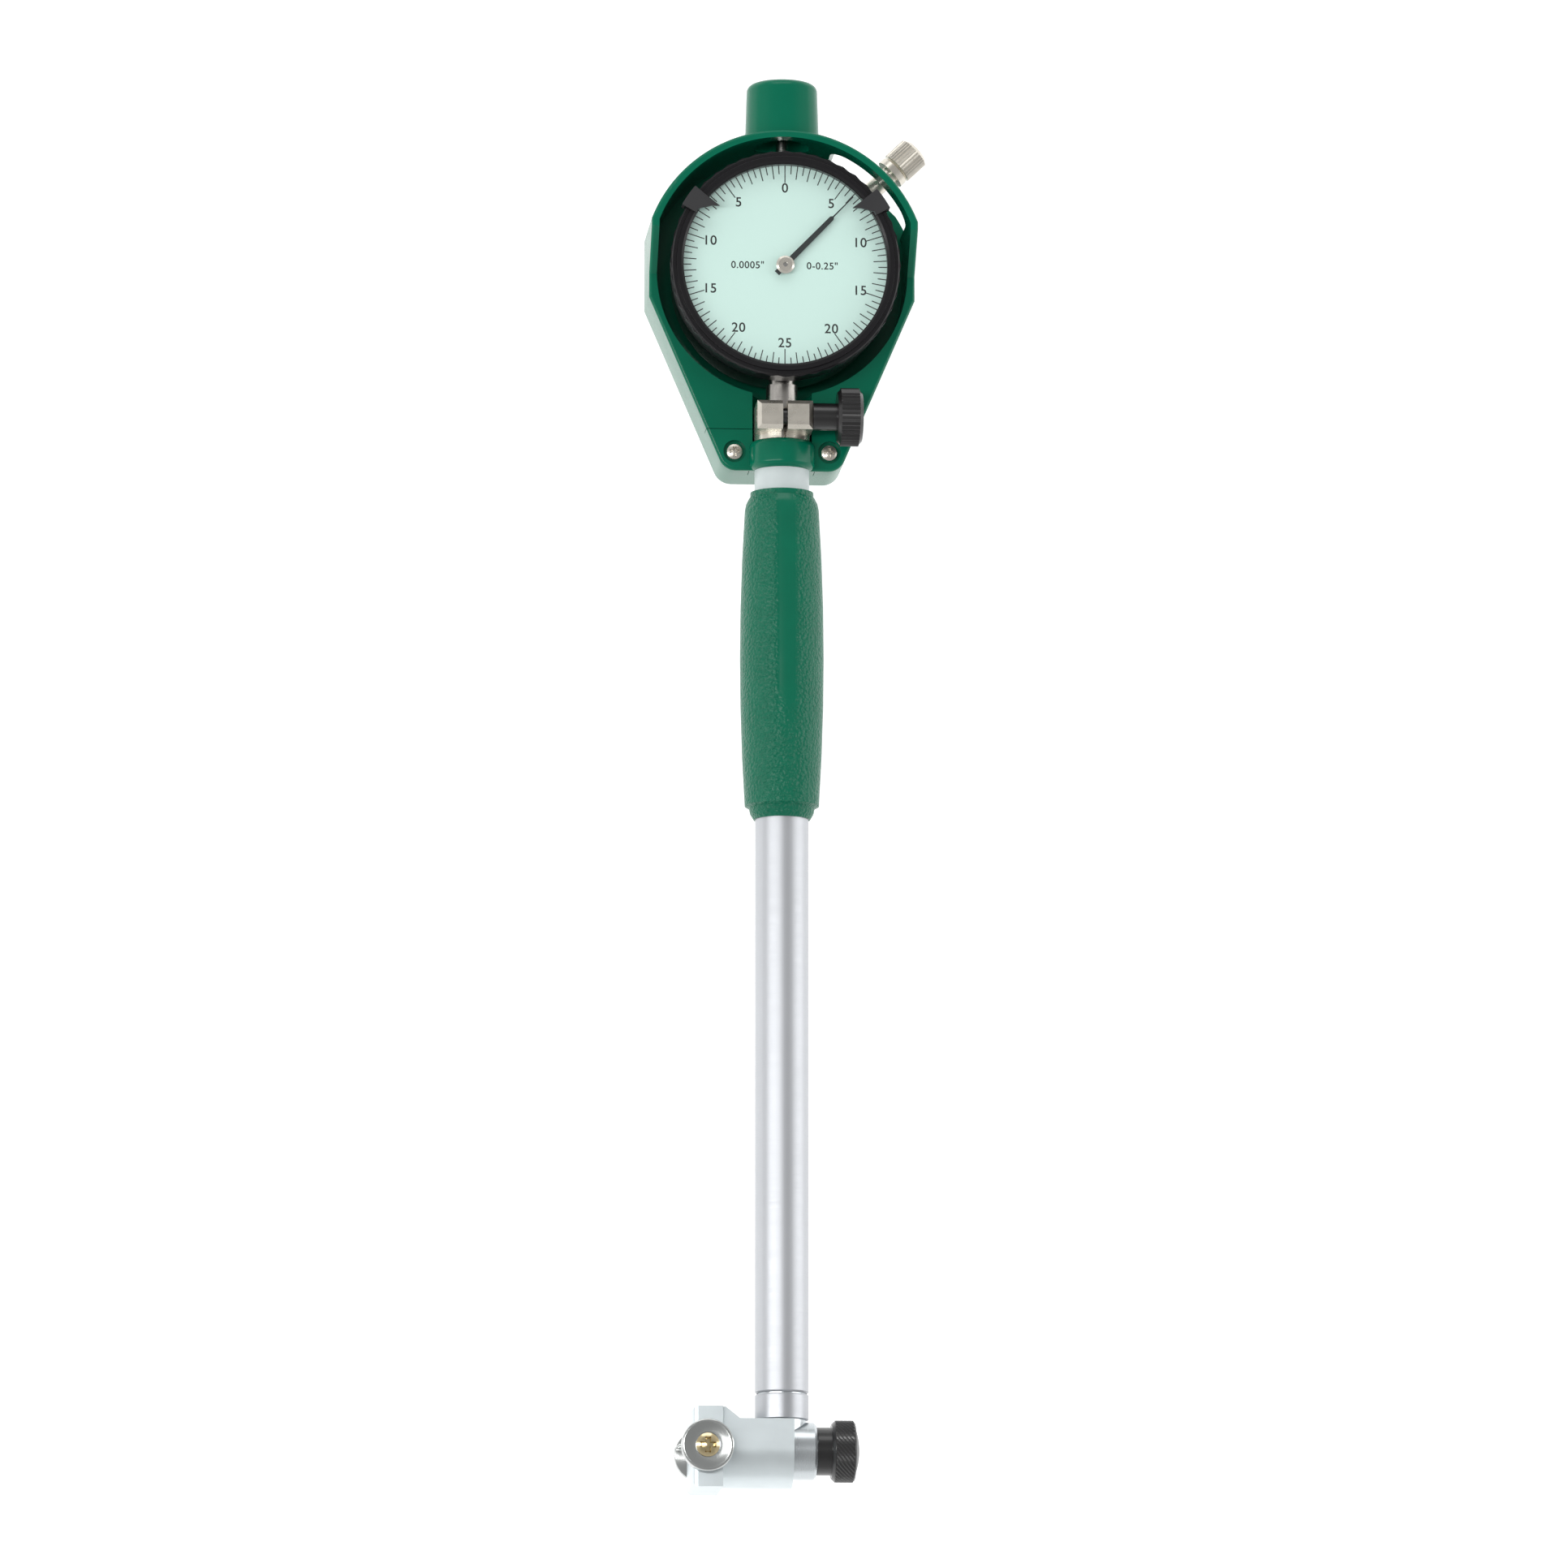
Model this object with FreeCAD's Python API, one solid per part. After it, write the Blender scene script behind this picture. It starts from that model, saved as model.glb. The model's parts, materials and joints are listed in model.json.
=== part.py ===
import FreeCAD, Part
import math
import os

from FreeCAD import Placement, Rotation, Vector

# Dial bore gauge, lying on its back.  X is across, +Y runs up the gauge to the dial, +Z faces the reader.
# The origin is on the flat back of the housing, right behind the centre of the dial.  Millimetres.

# ---------------------------------------------------------------- lengths along the gauge
axis_height = 17.5           # gauge axis above the surface it lies on
measuring_reach = 294.5      # dial centre down to the measuring axis
housing_reach = 50.1         # dial centre down to the housing's foot
grip_start = 55.7            # dial centre down to the grip's upper end
grip_length = 82.2
travel = 1.5                 # stroke of the measuring contact

# ---------------------------------------------------------------- fits
running = 0.04               # radial clearance of a shaft in its bearing
seam = 0.15                  # gap that shows between two covers
side_play = 0.10             # axial play of a wheel
contact_gap = 0.04           # gap between two hard faces that push each other

# ---------------------------------------------------------------- housing
housing_half_width = 33.2
arch_radius = 35.5
arch_drop = 1.0              # arch centre below the dial centre
taper_start = 6.4            # where the straight sides end, below the dial centre
foot_half_width = 14.4
foot_corner = 4.5
housing_wall = 1.9
housing_back = 3.0
rim_rise = 11.0              # front rim above the gauge axis
deck_rise = 1.0              # lower front face above the gauge axis
slope_top = 9.5              # where the rim starts to slope down to the deck
slope_run = 10.0
edge_round = 0.8
boss_top = 48.2
boss_top_radius = 8.8
boss_base_radius = 9.3
boss_base = 32.0
boss_wall = 1.9
boss_dome = 2.0
window_angle = 45.0          # middle of the finger window, clockwise from 12 o'clock
window_chord = 28.5          # the window starts this far from the dial centre
window_strip = 6.0           # depth of rim left in front of the window
window_corner = 4.0
window_half_width = 13.0
window_sill = 34.0           # dial centre out to the edge of the back beside the window

# ---------------------------------------------------------------- neck cap and its screws
cap_seam_reach = 39.6        # dial centre down to the seam of the cap
cap_depth = 6.0
cap_boss_radius = 8.25
cap_boss_reach = 42.8        # dial centre down to the cap's boss
cap_boss_round = 1.6
neck_saddle = 8.1            # half width of the housing's half bore
cap_screw_x = 11.8
cap_screw_reach = 45.3
cap_screw_head = 1.9         # radius
cap_screw_shank = 1.0
cap_screw_length = 5.2
cap_sink_radius = 2.8
cap_sink_depth = 1.4
cap_screw_head_height = 1.1
cap_screw_bevel = 0.5

# ---------------------------------------------------------------- stem clamp
clamp_radius = 7.0
clamp_reach = 34.3           # dial centre down to the clamp's upper face
lug_length = 7.2
lug_half_width = 6.9
lug_rise = 12.0              # lug face above the gauge axis
lug_bevel = 1.0
slit_width = 1.2
clamp_slot_play = 0.4
spigot_radius = 4.9
spigot_length = 6.0
clamp_screw_rise = 8.8       # clamp screw's axis above the gauge axis
clamp_screw_thread = 2.0
clamp_screw_neck = 3.4
clamp_screw_neck_length = 6.0
clamp_screw_head = 7.25
clamp_screw_head_length = 6.2
clamp_screw_ridges = 40
clamp_screw_ridge_depth = 0.35
clamp_screw_bevel = 0.8

# ---------------------------------------------------------------- grip, sleeve and tube
sleeve_radius = 6.8
grip_collar_radius = 7.85
grip_collar_length = 1.4
grip_shoulder_radius = 9.2
grip_shoulder_length = 3.0
grip_belly_radius = 10.4
grip_tail_radius = 7.0
grip_tail_length = 3.4
grip_lip = 0.3
grip_belly_steps = 6          # straight stretches that make the barrel's swell
thin_tube_radius = 5.6
tube_radius = 6.6
tube_bore = 4.95
tube_step = 2.6              # thick tube starts this far inside the grip's lower end
tube_chamfer = 0.4
collar_length = 6.2
collar_groove = 0.35

# ---------------------------------------------------------------- push rod
rod_radius = 1.6
rod_button_radius = 2.6
rod_button_length = 4.0
rod_collar_radius = 3.2
rod_collar_length = 3.0
bush_length = 8.0
bush_radius = 3.0            # lower bush
upper_bush_drop = 14.0       # push rod's top down to the upper bush
spring_space = 11.0          # between the upper bush and the rod's collar
spring_wire = 0.3            # half the wire's thickness
rod_spring_radius = 2.7
rod_spring_turns = 5

# ---------------------------------------------------------------- measuring head
head_radius = 7.05
head_left = -11.4
head_right = 8.3
head_bevel = 0.6
neck_radius = 5.9
neck_gap = 0.5               # shadow gap between the collar and the head cylinder
head_spigot_length = 14.0
plunger_radius = 2.5
plunger_nose_radius = 1.6
plunger_nose_length = 1.9
ball_radius = 1.25
ball_reach = 26.5            # gauge axis out to the tip of the ball
lever_arm = 4.0
lever_tip_radius = 1.1
lever_web = 1.3
lever_thickness = 2.4
lever_hub_radius = 1.5
pin_radius = 0.75
pin_half_length = 4.8
plunger_nib_radius = 1.5
plunger_nib_length = 3.0
nut_spigot_radius = 4.0
nut_neck_radius = 5.9
nut_neck_end = 12.1
nut_radius = 7.4
nut_end = 17.9
nut_chamfer = 0.7
nut_seat_gap = 0.25
nut_floor_depth = 2.8
plug_radius = 6.1
plug_dome = 1.1
plug_shank_radius = 2.4

# ---------------------------------------------------------------- centring bridge and rollers
bridge_radius = 9.2
bridge_right = 2.4
bridge_leg_top = 7.1         # above the measuring axis
crosshead_left = -22.6
crosshead_right = -15.2
crosshead_half_height = 9.9
crosshead_half_depth = 11.2
crosshead_round = 1.4
ramp_start = -14.4
ramp_end = -10.9
bridge_travel = 3.0
bridge_fit = 0.05
spring_pocket_radius = 4.5
spring_pocket_depth = 3.5
bridge_spring_wire = 0.4
bridge_spring_radius = 3.7
bridge_spring_turns = 3
roller_radius = 6.45
roller_width = 3.2
roller_x = -19.1
roller_round = 1.2
roller_sink_radius = 3.2
roller_sink_depth = 1.3
roller_screw_head = 2.9
roller_screw_head_height = 1.6
roller_screw_dome = 0.8
roller_screw_shank = 1.5
roller_screw_grip = 4.0
guide_screw_x = -4.0
guide_screw_radius = 1.2
guide_screw_head = 2.1
guide_screw_head_height = 1.1
guide_screw_depth = 4.4      # from the gauge axis to the tip of the guide screw

# ---------------------------------------------------------------- indicator case
case_radius = 27.2
case_wall = 1.6
case_back_drop = 9.0         # back of the case below the gauge axis
case_front_rise = 9.3        # front of the case above the gauge axis
case_web = 1.2
back_thickness = 1.8
back_screw_radius = 1.1
back_screw_circle = 23.6
back_screw_length = 5.0
back_screw_head = 1.8
back_screw_sink = 0.9
back_lug_radius = 2.6
web_hole = 3.0
stem_radius = 4.0
stem_end_reach = 46.0
stem_neck_radius = 3.3
stem_neck_reach = 28.6
stem_clearance = 2.2         # gap between the stem's end and the contact point
spindle_radius = 2.0
spindle_top_radius = 1.5
spindle_top_reach = 37.5     # dial centre up to the end of the spindle
spindle_cap_radius = 2.4
spindle_cap_length = 4.0
spindle_flange_y = 11.0
spindle_flange_radius = 2.9
spindle_spring_radius = 2.35
spindle_spring_wire = 0.25
spindle_spring_turns = 5
top_bush_radius = 2.2
top_bush_reach = 30.6
point_radius = 2.4
point_length = 10.5
point_round = 1.5

# ---------------------------------------------------------------- bezel, crystal, dial
bezel_radius = 28.7
bezel_skirt_rise = 6.0       # lower edge of the bezel above the gauge axis
bezel_rise = 13.4            # front of the bezel above the gauge axis
bezel_step_radius = 27.3
bezel_inner_radius = 25.4
bezel_grip_rise = 10.2
bezel_grip_width = 2.2
bezel_step = 0.6
bezel_scallops = 48
scallop_depth = 0.3
dial_radius = 26.9
dial_rise = 10.0
dial_thickness = 0.6
crystal_radius = 26.3
crystal_thickness = 1.0
crystal_rise = 13.0

# ---------------------------------------------------------------- pointer and markers
pointer_angle = -44.0        # from 12 o'clock, counterclockwise positive
pointer_length = 24.4
pointer_stout_length = 16.7
pointer_stout_width = 1.5
pointer_tip_width = 0.35
pointer_tail = 3.0
pointer_thickness = 0.25
pointer_rise = 11.0
pointer_eye_radius = 1.6
hub_radius = 2.25
hub_height = 0.6
marker_angle = 55.5
marker_half_span = 5.6       # degrees
marker_tip_angle = 6.0       # tip of the arrow ahead of the marker's middle, degrees
marker_tip_radius = 21.7
marker_inner_radius = 25.6
marker_wall = 0.8
marker_hook = 3.2            # how far the marker reaches down the bezel's side
marker_play = 0.08

# ---------------------------------------------------------------- bezel clamp screw
bezel_screw_angle = 46.5     # clockwise from 12 o'clock
bezel_screw_rise = 1.0
bezel_screw_shaft = 2.35
bezel_screw_flange_start = 37.2
bezel_screw_flange = 4.0
bezel_screw_head_start = 38.9
bezel_screw_head = 4.2
bezel_screw_end = 46.2
bezel_screw_ridges = 32
bezel_screw_ridge_depth = 0.3
bezel_screw_bevel = 0.7
bezel_screw_dome = 0.4
bezel_bush_radius = 3.3
bezel_bush_end = 29.4

# ---------------------------------------------------------------- movement
rack_pitch = 0.635           # 40 teeth to the inch
rack_teeth = 22
rack_pinion_teeth = 16
gear_teeth = 96
take_up_teeth = 60
centre_pinion_teeth = 12
fine_module = 0.1875
backlash = 0.14              # share of a tooth's width left free
rack_line = 1.4              # pitch line of the rack from the spindle's axis
arbor_radius = 0.6
plate_thickness = 0.9
rear_plate_rise = -5.5       # underside of each plate, above the gauge axis
middle_plate_rise = 3.2
front_plate_rise = 7.2
rear_plate_radius = 20.0
front_plate_radius = 19.0
gear_rise = 5.5
gear_thickness = 0.5
centre_pinion_length = 1.2
rack_pinion_length = 2.4
gear_crossing_radius = 2.0
gear_crossing_circle = 5.0
pillar_radius = 1.3
pillar_circle = 17.4
pillar_angles = (105.0, 195.0, 325.0)
take_up_angle = 38.0         # direction of the take-up gear from the centre, counterclockwise from +X

# ================================================================ helpers


def box(x0, x1, y0, y1, z0, z1):
    return Part.makeBox(x1 - x0, y1 - y0, z1 - z0, Vector(x0, y0, z0))


def rod(radius, start, end):
    along = end - start
    return Part.makeCylinder(radius, along.Length, start, along)


def ring(outer, inner, start, end):
    return rod(outer, start, end).cut(rod(inner, start, end))


def path_wire(path, plane):
    """Closed wire through the path's points: (u, v) ends a line, (um, vm, u, v) ends an arc through (um, vm)."""
    edges = []
    last = plane(*path[0])
    for step in path[1:] + [path[0]]:
        end = plane(*step[-2:])
        if len(step) == 4:
            edges.append(Part.Arc(last, plane(*step[:2]), end).toShape())
        elif end.distanceToPoint(last) > 1e-6:
            edges.append(Part.LineSegment(last, end).toShape())
        last = end
    return Part.Wire(edges)


def flat(u, v):
    return Vector(u, v, 0)


def plate(path, z0, z1):
    """Prism over a closed path drawn in X and Y."""
    face = Part.Face(path_wire(path, flat))
    face.translate(Vector(0, 0, z0))
    return face.extrude(Vector(0, 0, z1 - z0))


def turned(path, base, direction):
    """Solid of revolution; the path gives (distance along the axis, radius)."""
    solid = Part.Face(path_wire(path, flat)).revolve(Vector(0, 0, 0), Vector(1, 0, 0), 360)
    solid.Placement = Placement(base, Rotation(Vector(1, 0, 0), direction))
    return solid


def cap_arc(radius, height, base=0.0):
    """Path steps of a spherical cap: an arc from the rim (base, radius) to its top on the axis."""
    sphere = (radius ** 2 + height ** 2) / (2 * height)
    middle = math.sqrt(sphere ** 2 - radius ** 2 / 4) - sphere + height
    return (base + middle, radius / 2, base + height, 0)


def joined(*solids):
    result = solids[0].fuse(list(solids[1:]))
    return result.removeSplitter()


def at_angle(clockwise):
    """Unit vector in the dial's plane, measured clockwise from 12 o'clock."""
    angle = math.radians(clockwise)
    return Vector(math.sin(angle), math.cos(angle), 0)


def on_axis(y, x=0.0, rise=0.0):
    return Vector(x, y, axis_height + rise)


def spring(radius, wire, turns, start, end):
    """Coil spring between two points: a square wire swept along a helix."""
    length = (end - start).Length - 2 * wire
    helix = Part.makeHelix(length / turns, length, radius)
    corners = [Vector(radius + u * wire, 0, v * wire) for u, v in ((1, 1), (-1, 1), (-1, -1), (1, -1), (1, 1))]
    coil = Part.Wire(helix).makePipeShell([Part.makePolygon(corners)], True, True)
    base = start + (end - start).normalize() * wire
    coil.Placement = Placement(base, Rotation(Vector(0, 0, 1), end - start))
    return coil


def ridged_disc(radius, depth, count, thickness, base, direction):
    """Disc with straight ridges round its rim, drawn as a star polygon along the axis."""
    points = []
    for i in range(2 * count):
        r = radius if i % 2 == 0 else radius - depth
        angle = math.pi * i / count
        points.append(Vector(0, r * math.cos(angle), r * math.sin(angle)))
    disc = Part.Face(Part.makePolygon(points + points[:1])).extrude(Vector(thickness, 0, 0))
    disc.Placement = Placement(base, Rotation(Vector(1, 0, 0), direction))
    return disc


def knurled_head(radius, depth, ridges, length, bevel, base, direction):
    """Screw head: ridges round its middle, and a plain bevelled edge at each end."""
    root = radius - depth
    core = turned([(0, 0), (0, root - bevel), (bevel, root), (length - bevel, root), (length, root - bevel), (length, 0)],
                  base, direction)
    return joined(core, ridged_disc(radius, depth, ridges, length - 2 * bevel, base + direction * bevel, direction))


parts = {}
deck_z = axis_height + deck_rise
rim_z = axis_height + rim_rise
measuring_y = -measuring_reach

# ================================================================ housing


def edges_where(solid, test):
    return [edge for edge in solid.Edges if test(edge)]


def runs_along(edge, direction):
    if not isinstance(edge.Curve, Part.Line):
        return False
    return edge.tangentAt(edge.FirstParameter).cross(direction).Length < 1e-6


def housing_outline():
    side_top = math.sqrt(arch_radius ** 2 - housing_half_width ** 2) - arch_drop
    return [
        (housing_half_width, side_top),
        (0, arch_radius - arch_drop, -housing_half_width, side_top),
        (-housing_half_width, -taper_start),
        (-foot_half_width, -housing_reach),
        (foot_half_width, -housing_reach),
        (housing_half_width, -taper_start),
    ]


def housing_block():
    """The housing's outer form: a prism whose front steps down from the rim to the deck, edges rounded."""
    block = plate(housing_outline(), 0, rim_z)
    foot_edges = edges_where(block, lambda e: runs_along(e, Vector(0, 0, 1))
                             and e.CenterOfMass.y < -housing_reach + 1e-3)
    block = block.makeFillet(foot_corner, foot_edges)
    slope_end = slope_top - slope_run
    below = -housing_reach - 1
    front = [(slope_top, rim_z), (slope_end, deck_z), (below, deck_z), (below, rim_z + 1), (slope_top, rim_z + 1)]
    section = Part.Face(Part.makePolygon([Vector(-50, y, z) for y, z in front + front[:1]]))
    block = block.cut(section.extrude(Vector(100, 0, 0)))
    front_edges = edges_where(block, lambda e: e.BoundBox.ZMin > deck_z - 1e-3
                              and not (runs_along(e, Vector(1, 0, 0)) and e.CenterOfMass.y > 1 - housing_reach))
    return block.makeFillet(edge_round, front_edges)


def boss_block():
    boss = Part.makeCone(boss_base_radius, boss_top_radius, boss_top - boss_base,
                         on_axis(boss_base), Vector(0, 1, 0))
    top_edge = edges_where(boss, lambda e: e.BoundBox.YMin > boss_top - 1e-3)
    return boss.makeFillet(boss_dome, top_edge)


def pocket():
    """Round recess that takes the indicator, open to the front."""
    side = housing_half_width - housing_wall
    arch = arch_radius - housing_wall
    side_top = math.sqrt(arch ** 2 - side ** 2) - arch_drop
    path = [(side, 0), (side, side_top), (0, arch - arch_drop, -side, side_top), (-side, 0), (0, -side, side, 0)]
    return plate(path, housing_back, rim_z + 1)


def window():
    """Finger window beside the bezel clamp screw: through the arch wall, behind the rim, and over the sill."""
    far = arch_radius + 5
    opening = box(-window_half_width, window_half_width, window_chord, far, housing_back, rim_z - window_strip)
    front_corners = edges_where(opening, lambda e: runs_along(e, Vector(0, 1, 0))
                                and e.CenterOfMass.z > rim_z - window_strip - 1e-3)
    opening = opening.makeFillet(window_corner, front_corners)
    sill = box(-window_half_width, window_half_width, window_sill, far, -1, housing_back + 1)
    opening = opening.fuse(sill)
    opening.rotate(Vector(0, 0, 0), Vector(0, 0, 1), -window_angle)
    return opening


def clamp_slot():
    radius = clamp_radius + clamp_slot_play
    start = on_axis(-housing_half_width + 4)
    end = on_axis(-cap_boss_reach)
    return rod(radius, start, end).fuse(box(-radius, radius, end.y, start.y, axis_height, rim_z + 5))


def neck_bore():
    return rod(sleeve_radius, on_axis(-cap_boss_reach + 1), on_axis(-housing_reach - 5))


def make_housing(block):
    shell = joined(block, boss_block()).cut(pocket())
    shell = shell.cut(window())
    bore_radius = boss_top_radius - boss_wall
    shell = shell.cut(rod(bore_radius, on_axis(boss_base - 6), on_axis(boss_top - boss_wall)))
    shell = shell.cut(clamp_slot()).cut(neck_bore())
    split_z = deck_z - cap_depth
    cap_room = box(-50, 50, -housing_reach - 5, -cap_seam_reach, split_z, rim_z)
    saddle = box(-neck_saddle, neck_saddle, -housing_reach - 5, -cap_seam_reach, split_z, axis_height)
    shell = shell.cut(cap_room.cut(saddle))
    for side in (-1, 1):
        top = Vector(side * cap_screw_x, -cap_screw_reach, split_z)
        shell = shell.cut(rod(cap_screw_shank, top - Vector(0, 0, cap_screw_length), top))
    return shell.removeSplitter()


def make_neck_cap(block):
    split_z = deck_z - cap_depth
    cap = block.common(box(-50, 50, -housing_reach - 5, -cap_seam_reach - seam, split_z, rim_z))
    notch = neck_saddle + seam
    cap = cap.cut(box(-notch, notch, -housing_reach - 5, 0, split_z - 1, axis_height))
    boss = rod(cap_boss_radius, on_axis(-cap_boss_reach), on_axis(-housing_reach))
    boss = boss.makeFillet(cap_boss_round, edges_where(boss, lambda e: not runs_along(e, Vector(0, 1, 0))))
    boss = boss.cut(box(-50, 50, -100, 0, -50, axis_height))
    cap = joined(cap, boss).cut(clamp_slot()).cut(neck_bore())
    for side in (-1, 1):
        face = Vector(side * cap_screw_x, -cap_screw_reach, deck_z)
        floor = face - Vector(0, 0, cap_sink_depth)
        cap = cap.cut(rod(cap_sink_radius, floor, face + Vector(0, 0, 1)))
        cap = cap.cut(rod(cap_screw_shank, floor - Vector(0, 0, cap_depth), floor))
    return cap.removeSplitter()


def make_cover_screw(side):
    seat = Vector(side * cap_screw_x, -cap_screw_reach, deck_z - cap_sink_depth)
    head = rod(cap_screw_head, seat, seat + Vector(0, 0, cap_screw_head_height))
    head = head.makeChamfer(cap_screw_bevel, edges_where(head, lambda e: e.BoundBox.ZMin > seat.z + 0.1))
    return joined(head, rod(cap_screw_shank, seat - Vector(0, 0, cap_depth - cap_sink_depth + cap_screw_length), seat))


block = housing_block()
parts["housing"] = make_housing(block)
parts["neck_cap"] = make_neck_cap(block)
parts["cover_screw_left"] = make_cover_screw(-1)
parts["cover_screw_right"] = make_cover_screw(1)

# ================================================================ stem clamp and its screw

clamp_end = -cap_boss_reach
lug_middle = -clamp_reach - lug_length / 2
clamp_screw_axis = on_axis(lug_middle, 0, clamp_screw_rise)


def make_stem_clamp():
    """Split collar with two square lugs, and the spigot that holds it in the tube."""
    collar = rod(clamp_radius, on_axis(-clamp_reach), on_axis(clamp_end))
    lugs = box(-lug_half_width, lug_half_width, -clamp_reach - lug_length, -clamp_reach,
               axis_height + clamp_radius / 2, axis_height + lug_rise)
    lugs = lugs.cut(box(-slit_width / 2, slit_width / 2, -clamp_reach - lug_length, -clamp_reach,
                        axis_height, axis_height + lug_rise + 1))
    lug_edges = edges_where(lugs, lambda e: e.CenterOfMass.z > axis_height + lug_rise - 1e-3)
    lugs = lugs.makeChamfer(lug_bevel, [e for e in lug_edges if abs(e.CenterOfMass.x) > slit_width])
    collar = collar.cut(box(-slit_width / 2, slit_width / 2, clamp_end, -clamp_reach,
                            axis_height, axis_height + clamp_radius + 1))
    spigot = rod(spigot_radius, on_axis(clamp_end), on_axis(clamp_end - spigot_length))
    clamp = joined(collar, lugs, spigot)
    clamp = clamp.cut(rod(stem_radius, on_axis(0), on_axis(clamp_end - spigot_length - 1)))
    hole = clamp_screw_thread + running
    return clamp.cut(rod(hole, clamp_screw_axis - Vector(20, 0, 0), clamp_screw_axis + Vector(20, 0, 0)))


def make_clamp_screw():
    across = Vector(1, 0, 0)
    start = clamp_screw_axis - across * (lug_half_width - 0.6)
    shoulder = clamp_screw_axis + across * (lug_half_width + side_play)
    head_start = shoulder + across * clamp_screw_neck_length
    head = knurled_head(clamp_screw_head, clamp_screw_ridge_depth, clamp_screw_ridges, clamp_screw_head_length,
                        clamp_screw_bevel, head_start, across)
    return joined(rod(clamp_screw_thread, start, shoulder), rod(clamp_screw_neck, shoulder, head_start), head)


parts["stem_clamp"] = make_stem_clamp()
parts["clamp_screw"] = make_clamp_screw()

# ================================================================ tube, sleeve and grip

down = Vector(0, -1, 0)
grip_end = -grip_start - grip_length
tube_step_y = grip_end + tube_step
collar_end = measuring_y + head_radius + neck_gap
tube_end = collar_end + collar_length + collar_groove


def make_outer_tube():
    thin = rod(thin_tube_radius, on_axis(clamp_end), on_axis(tube_step_y))
    thick = rod(tube_radius, on_axis(tube_step_y), on_axis(tube_end))
    thick = thick.makeChamfer(tube_chamfer, edges_where(thick, lambda e: e.BoundBox.YMax < tube_end + 1e-3))
    return joined(thin, thick).cut(rod(tube_bore, on_axis(0), on_axis(tube_end - 1)))


def make_grip():
    """Moulded grip: a smooth collar at each end and a barrel that swells towards its middle."""
    length = grip_length
    barrel = grip_collar_length + grip_shoulder_length
    tail = length - grip_tail_length
    swell = grip_belly_radius - grip_shoulder_radius
    belly = []
    for i in range(grip_belly_steps + 1):
        share = i / grip_belly_steps
        belly.append((barrel + (tail - barrel) * share, grip_shoulder_radius + 4 * swell * share * (1 - share)))
    outer = [
        (0, sleeve_radius),
        (0, grip_collar_radius),
        (grip_collar_length, grip_collar_radius),
        (grip_collar_length, grip_collar_radius + grip_lip),
        (barrel - grip_shoulder_length / 2, grip_shoulder_radius - grip_lip),
        *belly,
        (tail + grip_lip * 2, grip_collar_radius + grip_lip),
        (length - grip_collar_length, grip_collar_radius),
        (length, grip_tail_radius),
        (length, tube_radius),
        (length - tube_step, tube_radius),
        (length - tube_step, sleeve_radius),
    ]
    return turned(outer, on_axis(-grip_start), down)


def make_collar():
    collar = rod(tube_radius, on_axis(collar_end + collar_length), on_axis(collar_end))
    collar = collar.makeChamfer(tube_chamfer / 2, edges_where(collar, lambda e: isinstance(e.Curve, Part.Circle)))
    return collar.cut(rod(neck_radius, on_axis(0), on_axis(measuring_y)))


parts["insulating_sleeve"] = ring(sleeve_radius, thin_tube_radius, on_axis(clamp_end), on_axis(tube_step_y))
parts["handle_grip"] = make_grip()
parts["outer_tube"] = make_outer_tube()
parts["tube_collar"] = make_collar()

# ================================================================ push rod, its bushes and spring

half_swing = travel / lever_arm / 2
lever_pivot = on_axis(measuring_y + lever_arm, -lever_arm)
rod_foot = lever_pivot.y - lever_arm * math.sin(half_swing) + lever_tip_radius + contact_gap
point_end = -stem_end_reach - point_length
rod_top = point_end - contact_gap
upper_bush_top = rod_top - upper_bush_drop
upper_bush_foot = upper_bush_top - bush_length
lower_bush_top = tube_end + head_spigot_length
rod_collar_top = upper_bush_foot - spring_space


def make_push_rod():
    pin = rod(rod_radius, on_axis(rod_foot), on_axis(rod_top))
    button = rod(rod_button_radius, on_axis(rod_top - rod_button_length), on_axis(rod_top))
    collar = rod(rod_collar_radius, on_axis(rod_collar_top - rod_collar_length), on_axis(rod_collar_top))
    return joined(pin, button, collar)


parts["push_rod"] = make_push_rod()
parts["upper_guide_bush"] = ring(tube_bore, rod_radius + running, on_axis(upper_bush_foot), on_axis(upper_bush_top))
parts["lower_guide_bush"] = ring(bush_radius, rod_radius + running,
                                 on_axis(lower_bush_top - bush_length), on_axis(lower_bush_top))
parts["push_rod_spring"] = spring(rod_spring_radius, spring_wire, rod_spring_turns,
                                  on_axis(rod_collar_top), on_axis(upper_bush_foot))

# ================================================================ measuring head

right = Vector(1, 0, 0)
head_centre = on_axis(measuring_y)
nut_start = head_right + nut_seat_gap
nut_floor = nut_end - nut_floor_depth
lever_foot_x = lever_pivot.x - lever_arm * math.sin(half_swing)
plunger_end = lever_foot_x - lever_tip_radius - contact_gap


def along_head(x):
    return on_axis(measuring_y, x)


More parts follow.
